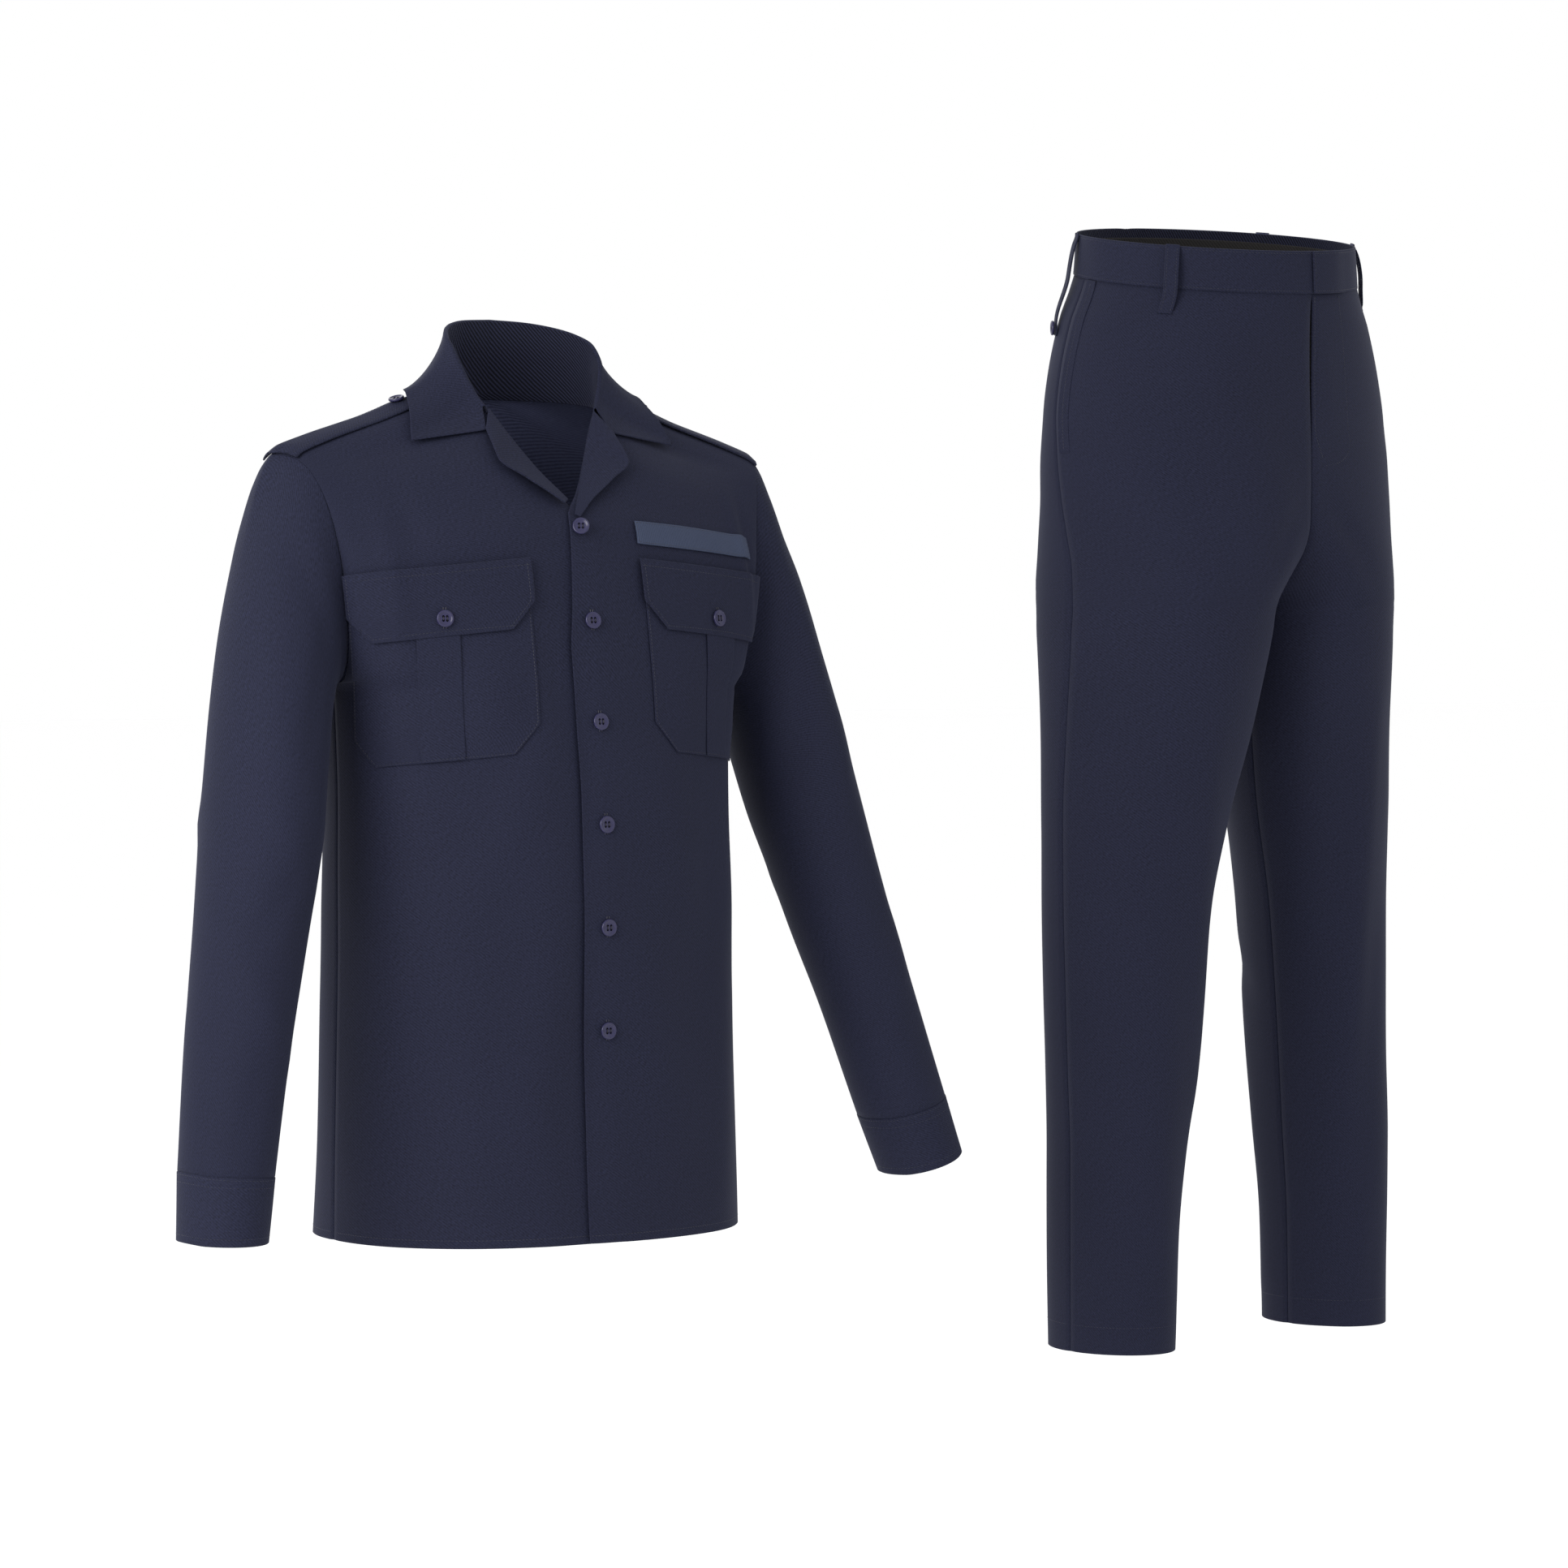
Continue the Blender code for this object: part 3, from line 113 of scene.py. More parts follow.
# How far the chest stands forward of and above a plain curve, along the same line. Then the shoulder seam's
# arch, by its share of the way from the neck to the shoulder tip.
CHEST_COLUMNS_OF = ("along", "forward", "up")
CHEST = (
    (0.00, 0.0000, 0.0000),
    (0.40, 0.0010, 0.0000),
    (0.55, 0.0095, -0.0020),
    (0.62, 0.0150, -0.0040),
    (0.70, 0.0160, -0.0050),
    (0.78, 0.0095, -0.0060),
    (0.84, 0.0020, -0.0068),
    (0.90, 0.0000, 0.0015),
    (1.00, 0.0000, 0.0000),
)
ARCH_START = 0.84
ARCH_COLUMNS_OF = ("share", "rise")
ARCH = (
    (0.000, 0.0000),
    (0.120, 0.0080),
    (0.256, 0.0097),
    (0.375, 0.0076),
    (0.500, 0.0060),
    (0.730, 0.0057),
    (0.850, 0.0050),
    (0.946, 0.0040),
    (1.000, 0.0000),
)

# Sleeve sections, each by its outer and inner edge: the first is the armhole
SLEEVE_COLUMNS_OF = ("outer_x", "outer_y", "outer_z", "inner_x", "inner_y", "inner_z", "half_depth")
SLEEVE = (
    (0.2450, 0.0100, -0.0535, 0.1930, 0.0000, -0.2500, 0.0530),
    (0.2500, 0.0115, -0.0610, 0.1990, -0.0010, -0.2565, 0.0560),
    (0.2566, 0.0140, -0.0790, 0.2045, -0.0040, -0.2660, 0.0611),
    (0.2638, 0.0150, -0.1060, 0.2090, -0.0080, -0.2800, 0.0641),
    (0.2748, 0.0095, -0.1450, 0.2135, -0.0125, -0.2990, 0.0666),
    (0.2891, 0.0020, -0.2000, 0.2175, -0.0170, -0.3220, 0.0676),
    (0.3036, -0.0090, -0.2620, 0.2225, -0.0220, -0.3470, 0.0671),
    (0.3161, -0.0190, -0.3250, 0.2284, -0.0300, -0.3780, 0.0651),
    (0.3296, -0.0310, -0.3900, 0.2414, -0.0420, -0.4260, 0.0607),
    (0.3436, -0.0460, -0.4600, 0.2584, -0.0550, -0.4900, 0.0554),
    (0.3576, -0.0610, -0.5300, 0.2769, -0.0690, -0.5530, 0.0511),
    (0.3688, -0.0740, -0.5870, 0.2909, -0.0800, -0.6050, 0.0484),
    (0.3791, -0.0865, -0.6390, 0.3034, -0.0900, -0.6527, 0.0466),
)
CUFF_END = (0.3874, -0.1010, -0.6915, 0.3164, -0.1030, -0.7035, 0.0446)
HANG_START = -0.250
HANG_END = -0.650
OUTER_HANG = 0.0160
INNER_HANG = 0.0078
ARMHOLE_SQUARENESS = 0.72
FRONT_HOLLOW = 0.024
BACK_HOLLOW = 0.010
HOLLOW_END = 0.40
HOLLOW_SPREAD = 0.6
HOLLOW_NARROWING = 2.2
HANG_CURVE = 1.5
HANG_HALF_WIDTH = 0.030
CUFF_RAISE = 0.0004

# Collar, from centre back (0) to the gorge (1): neck seam, fold and leaf edge
COLLAR_COLUMNS_OF = (
    "along", "seam_x", "seam_y", "seam_z", "fold_x", "fold_y", "fold_z", "edge_x", "edge_y", "edge_z",
)
COLLAR = (
    (0.00, 0.0000, 0.0664, 0.0057, 0.0000, 0.0610, 0.0715, 0.0000, 0.0860, -0.0020),
    (0.16, 0.0340, 0.0594, 0.0051, 0.0270, 0.0560, 0.0700, 0.0420, 0.0800, -0.0010),
    (0.32, 0.0584, 0.0424, 0.0034, 0.0475, 0.0435, 0.0660, 0.0820, 0.0580, 0.0020),
    (0.46, 0.0708, 0.0248, 0.0009, 0.0630, 0.0250, 0.0590, 0.1040, 0.0320, 0.0060),
    (0.60, 0.0744, 0.0098, -0.0012, 0.0705, 0.0070, 0.0490, 0.1165, 0.0080, 0.0050),
    (0.74, 0.0700, -0.0030, -0.0039, 0.0705, -0.0050, 0.0360, 0.1215, -0.0080, -0.0060),
    (0.86, 0.0628, -0.0130, -0.0079, 0.0660, -0.0135, 0.0190, 0.1262, -0.0205, -0.0190),
    (0.95, 0.0560, -0.0220, -0.0124, 0.0590, -0.0205, 0.0010, 0.1302, -0.0292, -0.0338),
    (1.00, 0.0530, -0.0272, -0.0137, 0.0537, -0.0265, -0.0090, 0.1315, -0.0328, -0.0402),
)
NOTCH = (0.0627, -0.0410, -0.0300)
NOTCH_SHARE = 0.28
FOLD_RADIUS = CLOTH + 0.0006
LEAST_STAND = 2.2 * FOLD_RADIUS
FOLD_TURNS = (30.0, 60.0, 90.0, 120.0, 150.0)
LEAF_SHARES = (0.0, 0.07, 0.14, 0.21, 0.28, 0.36, 0.44, 0.52, 0.60, 0.68, 0.76, 0.84, 0.92, 0.985, 1.0)
LEAF_SPREAD = 1.45
LEAF_DROP = 1.25
NOTCH_START = 0.93

# Lapel from the break (0) to the gorge (1): its roll line and its outer edge
LAPEL_COLUMNS_OF = ("along", "roll_x", "roll_y", "roll_z", "edge_x", "edge_y", "edge_z")
LAPEL = (
    (0.00, -0.0040, -0.0915, -0.1040, 0.0000, -0.0945, -0.1065),
    (0.16, 0.0075, -0.0785, -0.0880, 0.0164, -0.0875, -0.0915),
    (0.45, 0.0220, -0.0605, -0.0665, 0.0417, -0.0780, -0.0740),
    (0.78, 0.0405, -0.0405, -0.0350, 0.0657, -0.0660, -0.0545),
    (1.00, 0.0530, -0.0285, -0.0125, 0.0632, -0.0425, -0.0305),
)
UNDER_LAPEL_START = 0.12
UNDER_LAPEL_SET_BACK = 0.0014
LAPEL_THICKNESS = CLOTH * 0.8

# Things on the chest, placed by distance round the body from the centre plane and by height
# Columns: a front button's height and its lift off the cloth
BUTTONS = (
    (-0.1155, 0.0036),
    (-0.1960, 0.0006),
    (-0.2830, 0.0001),
    (-0.3713, -0.0001),
    (-0.4600, 0.0001),
    (-0.5489, 0.0003),
)
CHEST_SLOPE = -0.090
CHEST_REFERENCE = 0.135
POCKET_START = 0.0585
POCKET_WIDTH = 0.1620
POCKET_FLARE = 0.0080
POCKET_TOP = -0.1530
POCKET_BOTTOM = -0.3150
POCKET_CUT = 0.0240
PLEAT_START = 0.1250
PLEAT_WIDTH = 0.0370
PLEAT_CUT = 0.0005
FLAP_START = 0.0550
FLAP_WIDTH = 0.1660
FLAP_TOP = -0.1500
FLAP_BOTTOM = -0.2090
FLAP_CUT = 0.0230
FLAP_BUTTON_AT = (0.1375, -0.1945)
STRIP_START = 0.0560
STRIP_WIDTH = 0.1420
STRIP_TOP = -0.1170
STRIP_HEIGHT = 0.0190
STRIP_THICKNESS = 0.0010
STRIP_LIFT = 0.0014

# Shoulder straps, from under the collar to the sleeve head
STRAP_START = 0.07
STRAP_END = 0.950
STRAP_HALF_WIDTH_IN = 0.0175
STRAP_HALF_WIDTH_OUT = 0.0260
STRAP_BUTTON_X = 0.1225

# Buttons
BUTTON_RADIUS = 0.0075
BUTTON_THICKNESS = 0.0028
SMALL_BUTTON_RADIUS = 0.0070

# Trousers: each leg's section by height. Down to the crotch, where share becomes 1, it starts at the centre
# plane.
BAND_TOP = 0.1713
BAND_SEAM = 0.1323
TROUSER_HEM = -0.8817
LEG_COLUMNS_OF = ("height", "side", "share", "centre_y", "front", "back", "skew", "seam_angle")
LEG = (
    (-0.8817, 0.2010, 2.870, -0.0115, 0.0668, 0.0668, 0.000, 93.0),
    (-0.7770, 0.2010, 2.770, -0.0116, 0.0686, 0.0686, 0.000, 93.0),
    (-0.7000, 0.2006, 2.569, -0.0112, 0.0712, 0.0712, 0.000, 93.0),
    (-0.6220, 0.2007, 2.289, -0.0112, 0.0736, 0.0736, 0.052, 93.0),
    (-0.5440, 0.2010, 2.049, -0.0111, 0.0768, 0.0768, 0.090, 93.0),
    (-0.4660, 0.2008, 1.809, -0.0109, 0.0803, 0.0803, 0.120, 93.0),
    (-0.3880, 0.2005, 1.500, -0.0115, 0.0876, 0.0849, 0.130, 93.0),
    (-0.3000, 0.1965, 1.230, -0.0160, 0.0950, 0.0970, 0.170, 93.0),
    (-0.2090, 0.1905, 1.060, -0.0210, 0.1040, 0.1170, 0.200, 93.0),
    (-0.1850, 0.1890, 1.010, -0.0205, 0.1070, 0.1210, 0.180, 93.0),
    (-0.1500, 0.1890, 0.780, -0.0190, 0.1130, 0.1250, 0.150, 93.0),
    (-0.1153, 0.1930, 0.480, -0.0140, 0.1180, 0.1220, 0.090, 94.0),
    (-0.0764, 0.1985, 0.230, -0.0060, 0.1240, 0.1160, 0.030, 95.0),
    (-0.0374, 0.2010, 0.070, 0.0000, 0.1285, 0.1160, 0.000, 96.0),
    (0.0015, 0.1975, 0.000, 0.0000, 0.1285, 0.1190, 0.000, 99.0),
    (0.0404, 0.1888, 0.000, 0.0000, 0.1280, 0.1210, 0.000, 101.0),
    (0.0900, 0.1700, 0.000, 0.0000, 0.1280, 0.1220, 0.000, 104.0),
    (0.1323, 0.1480, 0.000, 0.0000, 0.1280, 0.1200, 0.000, 107.0),
    (0.1713, 0.1450, 0.000, 0.0000, 0.1265, 0.1180, 0.000, 108.0),
)
CROTCH_HEIGHT = -0.185
WAIST_DROP = 0.0055
WAIST_SLOPE = 0.105
BAND_LAP = 0.030
WAIST_RADIUS = 0.137
BAND_LIFT = CLOTH + LAYER_GAP
CURTAIN_TOP_INSET = 0.007
CURTAIN_GAP = 0.0010
CURTAIN_THICKNESS = CLOTH * 0.7
FLY_GAP = 0.0016
FLY_TOP = BAND_SEAM
FLY_BOTTOM = -0.035
FLY_SLIT = 0.0034
FLY_UNDERLAP = 0.030

# Belt loops
LOOP_WIDTH = 0.0125
LOOP_TOP = BAND_TOP + 0.001
LOOP_FOOT = 0.1085
LOOP_STAND_OFF = 0.0062
FRONT_LOOP_ANGLE = 59.0
SIDE_LOOP_ANGLE = 118.0
SIDE_LOOP_FOOT = 0.0760
LOOP_THICKNESS = 0.0015
LEFT_LOOP_GAP = -0.0002
RIGHT_LOOP_GAP = 0.0006


# Numbers along a table and grids of points

def smooth(table, columns, name, at):
    """A column of a table as a smooth curve of its first column, with no overshoot between rows."""
    rows = np.array(table)
    x, y = rows[:, 0], rows[:, columns.index(name)]
    step = np.diff(x)
    slope = np.diff(y) / step
    tangent = np.zeros(len(x))
    product = slope[:-1] * slope[1:]
    rising = product > 0
    total = np.where(rising, slope[:-1] + slope[1:], 1.0)
    tangent[1:-1] = np.where(rising, 2 * product / total, 0.0)
    tangent[0], tangent[-1] = slope[0], slope[-1]
    at = np.clip(np.asarray(at, float), x[0], x[-1])
    i = np.clip(np.searchsorted(x, at, side="right") - 1, 0, len(x) - 2)
    t = (at - x[i]) / step[i]
    start = (1 + 2 * t) * (1 - t) ** 2 * y[i] + t * (1 - t) ** 2 * step[i] * tangent[i]
    end = t * t * (3 - 2 * t) * y[i + 1] + t * t * (t - 1) * step[i] * tangent[i + 1]
    return start + end


def numbered(table):
    """The same table with its row number from 0 to 1 in front."""
    return tuple((i / (len(table) - 1),) + tuple(row) for i, row in enumerate(table))


def curve(table, columns, prefix, at):
    """Three columns of a table as points."""
    return np.stack([smooth(table, columns, prefix + axis, at) for axis in "xyz"], axis=-1)


def ease(value):
    """0 to 1 with soft ends."""
    value = np.clip(value, 0.0, 1.0)
    return value * value * (3 - 2 * value)


FLIP = np.array([-1.0, 1.0, 1.0])
UP = np.array([0.0, 0.0, 1.0])


def walked(line):
    """The distance walked along a line of points, at each of them."""
    return np.concatenate([[0.0], np.cumsum(np.linalg.norm(np.diff(line, axis=0), axis=1))])


def between(at, stations, line):
    """Points of a line at some stations along it."""
    return np.stack([np.interp(at, stations, line[:, axis]) for axis in range(3)], axis=-1)


def unit(vectors):
    """The same directions, one long."""
    length = np.linalg.norm(vectors, axis=-1, keepdims=True)
    return vectors / np.maximum(length, 1e-12)


def normals_of(points, closed=False):
    """Unit normals of a grid, columns crossed with rows."""
    if closed:
        across = np.roll(points, -1, axis=1) - np.roll(points, 1, axis=1)
    else:
        across = np.gradient(points, axis=1)
    normals = unit(np.cross(across, np.gradient(points, axis=0)))
    normals[np.abs(points[..., 0]) < 1e-6, 0] = 0.0
    return unit(normals)


def mirrored(points):
    """The wearer's right-hand copy, with its columns reversed so that it still faces out."""
    return points[:, ::-1] * FLIP


def pulled_back(points, amount, closed=False, kept_column=None):
    """The same grid with its open edges drawn in, but for a column that joins another grid."""
    result = points.copy()
    result[0] += unit(points[1] - points[0]) * amount
    result[-1] += unit(points[-2] - points[-1]) * amount
    if closed:
        return result
    if kept_column != 0:
        result[:, 0] += unit(points[:, 1] - points[:, 0]) * amount
    if kept_column != -1:
        result[:, -1] += unit(points[:, -2] - points[:, -1]) * amount
    return result


SHARPEST_MITRE = 0.75
MITRE_LIMIT = 0.8


def shared_normals(pieces):
    """Gives points that neighbouring pieces share one mitred wall direction, so their edges meet."""
    at_point = {}
    for name, (points, closed) in pieces.items():
        normals = normals_of(points, closed)
        for index in np.ndindex(points.shape[:2]):
            key = tuple(np.round(points[index] * 1e5).astype(int))
            at_point.setdefault(key, []).append((name, index, normals[index]))
    result = {name: normals_of(points, closed) for name, (points, closed) in pieces.items()}
    for found in at_point.values():
        mean = np.mean([normal for _, _, normal in found], axis=0)
        length = np.linalg.norm(mean)
        if len(found) < 2 or length < SHARPEST_MITRE:
            continue
        for name, index, _ in found:
            result[name][index] = mean / length / max(length, MITRE_LIMIT)
    return result


# The garments' surfaces

def armhole(angle):
    """A point of the armhole: 0 is the shoulder tip, 180 degrees the underarm, and the front is at -Y."""
    first = SLEEVE[0]
    return ring_points(np.array(first[0:3]), np.array(first[3:6]), first[6], np.asarray(angle, float), 0.0)


def body_start_and_end(up, front):
    """A row's ends: on the centre line, roll line or neck, and on the side seam or armhole."""
    height = HEM_HEIGHT + np.clip(up, 0.0, 1.0) * (UNDERARM_HEIGHT - HEM_HEIGHT)
    along = np.clip(up - 1.0, 0.0, 1.0)
    depth = smooth(BODY, BODY_COLUMNS_OF, "front" if front else "back", height)
    low_start = np.stack([0 * height, -depth if front else depth, height], axis=-1)
    half_width = smooth(BODY, BODY_COLUMNS_OF, "half_width", height)
    low_end = np.stack([half_width, 0 * height, height], axis=-1)
    high_start = curve(FRONT_LINE if front else BACK_LINE, LINE_COLUMNS_OF, "", along)
    angle = math.pi * (1.0 - along)
    high_end = armhole(angle if front else -angle)
    above = (up > 1.0)[..., None]
    return np.where(above, high_start, low_start), np.where(above, high_end, low_end)


def body(up, across, front, past_centre=0.0):
    """The shirt's outer surface on the wearer's left.

    up is 0 at the hem, 1 at the underarm and 2 at the shoulder. across is 0 at the centre line and 1 at the
    side seam or armhole. past_centre is how far the row starts beyond the centre plane.
    """
    up, across = np.broadcast_arrays(np.asarray(up, float), np.asarray(across, float))
    start, end = body_start_and_end(up, front)
    height = HEM_HEIGHT + np.clip(up, 0.0, 1.0) * (UNDERARM_HEIGHT - HEM_HEIGHT)
    power = smooth(BODY, BODY_COLUMNS_OF, "power", height)
    reach = end[..., 0] - start[..., 0]
    first_angle = -np.arcsin(np.clip(past_centre / reach, 0.0, 1.0) ** (power / 2))
    angle = first_angle + across * (math.pi / 2 - first_angle)
    outwards = np.sign(np.sin(angle)) * np.abs(np.sin(angle)) ** (2 / power)
    forwards = np.abs(np.cos(angle)) ** (2 / power)
    along = np.clip(up - 1.0, 0.0, 1.0)
    share = np.clip(outwards, 0.0, 1.0)
    rise = smooth(ARCH, ARCH_COLUMNS_OF, "rise", share) * ease((along - ARCH_START) / (1 - ARCH_START))
    if front:
        forward = smooth(CHEST, CHEST_COLUMNS_OF, "forward", along) * np.sin(math.pi * share ** 0.6)
        rise = rise + smooth(CHEST, CHEST_COLUMNS_OF, "up", along) * np.sin(math.pi * share ** 0.8)
    else:
        forward = -BACK_FULLNESS * np.sin(math.pi * along) ** 1.5 * np.sin(math.pi * share)
    x = start[..., 0] + reach * outwards
    y = end[..., 1] + (start[..., 1] - end[..., 1]) * forwards - forward
    z = start[..., 2] + (end[..., 2] - start[..., 2]) * share + rise
    return np.stack([x, y, z], axis=-1)


def overlap(up, side):
    """How far a front passes the centre plane, down to nothing where the lapels turn out."""
    return smooth(OVERLAP, OVERLAP_COLUMNS_OF, side, up)


def under_inset(points, up):
    """Sets the under front back behind the over front where the two lap."""
    near_centre = 1 - ease((points[..., 0] - UNDERLAP_REACH[0]) / (UNDERLAP_REACH[1] - UNDERLAP_REACH[0]))
    below_break = 1 - ease((up - BREAK_UP) / UNDERLAP_FADE)
    return (near_centre * below_break * UNDERLAP_DEPTH)[..., None]


def front_point(distance, height):
    """The front's outer surface at a distance round the body from the centre plane, and the normal there."""
    distance, height = np.broadcast_arrays(np.asarray(distance, float), np.asarray(height, float))
    steps = np.linspace(0.0, 1.0, 61) + np.zeros(height.shape + (1,))
    low, high = np.zeros(steps.shape), np.full(steps.shape, 1.9)
    for _ in range(24):
        middle = (low + high) / 2
        under = body(middle, steps, True)[..., 2] < height[..., None]
        low, high = np.where(under, middle, low), np.where(under, high, middle)
    level = body(low, steps, True)
    arc = np.cumsum(np.linalg.norm(np.diff(level, axis=-2), axis=-1), axis=-1)
    arc = np.concatenate([np.zeros(height.shape + (1,)), arc], axis=-1)
    across, up = np.zeros(height.shape), np.zeros(height.shape)
    for index in np.ndindex(height.shape):
        across[index] = np.interp(distance[index], arc[index], steps[index])
        up[index] = np.interp(distance[index], arc[index], low[index])
    nudge = 1e-4
    here = body(up, across, True)
    by_up = body(up + nudge, across, True) - here
    by_across = body(up, across + nudge, True) - here
    return here, unit(np.cross(by_across, by_up))


def sleeve_ring(along, angles):
    """A section of the sleeve: along is 0 at the armhole and 1 at the cuff seam."""
    table = numbered(SLEEVE)
    columns = ("along",) + SLEEVE_COLUMNS_OF
    outer = curve(table, columns, "outer_", along)
    inner = curve(table, columns, "inner_", along)
    depth = smooth(table, columns, "half_depth", along)
    return ring_points(outer, inner, depth, angles, along)


def ring_points(outer, inner, depth, angles, along):
    """A ring between an outer and an inner edge, squarer and hollowed towards the body near the armhole."""
    angles = angles[..., None]
    fade = 1 - ease(along / HOLLOW_END)
    power = 1 - (1 - ARMHOLE_SQUARENESS) * fade
    sideways = np.abs(np.sin(angles))
    forwards = np.sign(np.sin(angles)) * sideways ** power
    hollow = np.where(np.sin(angles) > 0, FRONT_HOLLOW, BACK_HOLLOW) * fade
    hollow = hollow * sideways ** HOLLOW_SPREAD * np.abs(np.cos(angles / 2)) ** HOLLOW_NARROWING
    points = (outer + inner) / 2 + (outer - inner) / 2 * np.cos(angles)
    return points - forwards * np.array([0.0, depth, 0.0]) - hollow * np.array([1.0, 0.0, 0.0])


def hung(points, side):
    """The lower arm hangs a little higher on the left than on the right, most on its outer edge."""
    down = (HANG_START - points[..., 2]) / (HANG_START - HANG_END)
    down = np.clip(down, 0.0, 1.2) ** HANG_CURVE
    middle = points.mean(axis=1, keepdims=True)[..., 0]
    outwards = np.clip((points[..., 0] - middle) / HANG_HALF_WIDTH / 2 + 0.5, 0.0, 1.0)
    drop = (INNER_HANG + (OUTER_HANG - INNER_HANG) * outwards) * down
    result = points.copy()
    result[..., 2] += drop if side == "left" else -drop
    return result


def collar_profile(along):
    """The collar's visible side at one place: up the inside of the neck, over the fold and down the leaf."""
    seam = curve(COLLAR, COLLAR_COLUMNS_OF, "seam_", along)
    fold = curve(COLLAR, COLLAR_COLUMNS_OF, "fold_", along)
    edge = curve(COLLAR, COLLAR_COLUMNS_OF, "edge_", along)
    out = edge - fold
    out[2] = 0.0
    out = out / np.linalg.norm(out)
    top = fold.copy()
    top[2] = max(top[2], seam[2] + LEAST_STAND)
    centre = top + out * FOLD_RADIUS - UP * FOLD_RADIUS
    points = [seam + (centre - out * FOLD_RADIUS - seam) * share for share in (0.0, 0.5, 1.0)]
    for degrees in FOLD_TURNS:
        turn = math.radians(degrees)
        points.append(centre - out * FOLD_RADIUS * math.cos(turn) + UP * FOLD_RADIUS * math.sin(turn))
    first = centre + out * FOLD_RADIUS
    notched = ease((along - NOTCH_START) / (1 - NOTCH_START))
    for share in LEAF_SHARES:
        flat, drop = share ** LEAF_SPREAD, 1 - (1 - share) ** LEAF_DROP
        soft = first + (edge - first) * np.array([flat, flat, drop])
        if share <= NOTCH_SHARE:
            cut = first + (np.array(NOTCH) - first) * share / NOTCH_SHARE
        else:
            cut = np.array(NOTCH) + (edge - np.array(NOTCH)) * (share - NOTCH_SHARE) / (1 - NOTCH_SHARE)
        points.append(soft + (cut - soft) * notched)
    return np.stack(points)


def lapel_grid(along, share):
    """Points of a lapel: along is 0 at the break and 1 at the gorge, and share is 0 at the roll line."""
    roll = curve(LAPEL, LAPEL_COLUMNS_OF, "roll_", along[:, 0])[:, None]
    edge = curve(LAPEL, LAPEL_COLUMNS_OF, "edge_", along[:, 0])[:, None]
    return roll + (edge - roll) * share[..., None]


def cut_panel(start, width, flare, top, bottom, cut, down, share):
    """Distances and heights of a panel that widens downwards and whose two lower corners are cut off."""
    down, share = down[:, None], share[None, :]
    height = bottom + (top - bottom) * down
    into_cut = np.clip((bottom + cut - height) / cut, 0.0, 1.0)
    narrowed = into_cut * cut
    wider = width + flare * (1 - down)
    distance = start + narrowed + (wider - 2 * narrowed) * share
    return distance, height


def shoulder_walk(across, distance):
    """The shirt's surface at a distance from the shoulder seam: forwards under 0, backwards over 0."""
    levels = np.linspace(2.0, 1.4, 61)
    line = body(levels, np.full(61, across), distance < 0)
    return between(abs(distance), walked(line), line)


def leg(name, height):
    """A column of the leg's table at a height."""
    return smooth(LEG, LEG_COLUMNS_OF, name, height)


def leg_section(height, angle):
    """A leg's outer surface on the wearer's left: angle 0 is the front, 90 degrees the side and 180 the back.

    Towards the waist each level section slopes, lower in front than behind.
    """
    height, angle = np.broadcast_arrays(np.asarray(height, float), np.asarray(angle, float))
    side = leg("side", height)
    share = leg("share", height)
    half_width = side / (1 + share)
    forwards = np.cos(angle)
    front = leg("front", height)
    back = leg("back", height)
    depth = np.where(forwards > 0, front, back)
    x = half_width * (share + np.sin(angle))
    skew = leg("skew", height) * half_width * np.sin(angle)
    y = leg("centre_y", height) - depth * forwards + skew
    towards_waist = ease((height - CROTCH_HEIGHT) / (BAND_SEAM - CROTCH_HEIGHT))
    return np.stack([x, y, height + (WAIST_SLOPE * y - WAIST_DROP) * towards_waist], axis=-1)


def first_angle(height):
    """Where a section meets the centre plane in front: behind the crotch it becomes the inside leg."""
    share = np.clip(leg("share", height), 0.0, 1.0)
    return -np.arcsin(share)


def seam_angle(height):
    """Where the side seam lies round the leg."""
    return np.radians(leg("seam_angle", height))


def fly_slit(height):
    """How far the under front stands back from the fly edge, widest near the waist."""
    down = np.clip((FLY_TOP - height) / (FLY_TOP - FLY_BOTTOM), 0.0, 1.0)
    return FLY_SLIT * np.sin(math.pi * down ** 0.55)


def loop_grid(angle, top, foot, stand_off, gap, rows, columns):
    """A belt loop's centre surface: sewn down at its top and foot and standing off between them."""
    share = np.linspace(0.0, 1.0, rows)
    height = foot + (top - foot) * share
    off = stand_off * np.sin(math.pi * np.clip(share * 1.12 - 0.06, 0, 1)) ** 0.6
    level = np.minimum(height, BAND_TOP)
    point = leg_section(level, np.radians(angle))
    along = unit(leg_section(level, np.radians(angle + 0.5)) - point)
    point[:, 2] += height - level
    out = unit(np.cross(along, UP))
    centre = point + out * (gap + off)[:, None]
    sides = [centre + along * LOOP_WIDTH * step for step in np.linspace(-0.5, 0.5, columns)]
    return np.stack(sides, axis=1), out


# Finer cloth for the looks

LOOK_CLOTH = 0.0011
EDGE_MARGIN = 0.0009
EDGE_ROUNDING = 0.45
SEAM_DEPTH = 0.0011
FOLD_STRENGTH = 1.35
FOLD_FACING = 1.7
FOLD_END_STRENGTH = 0.35

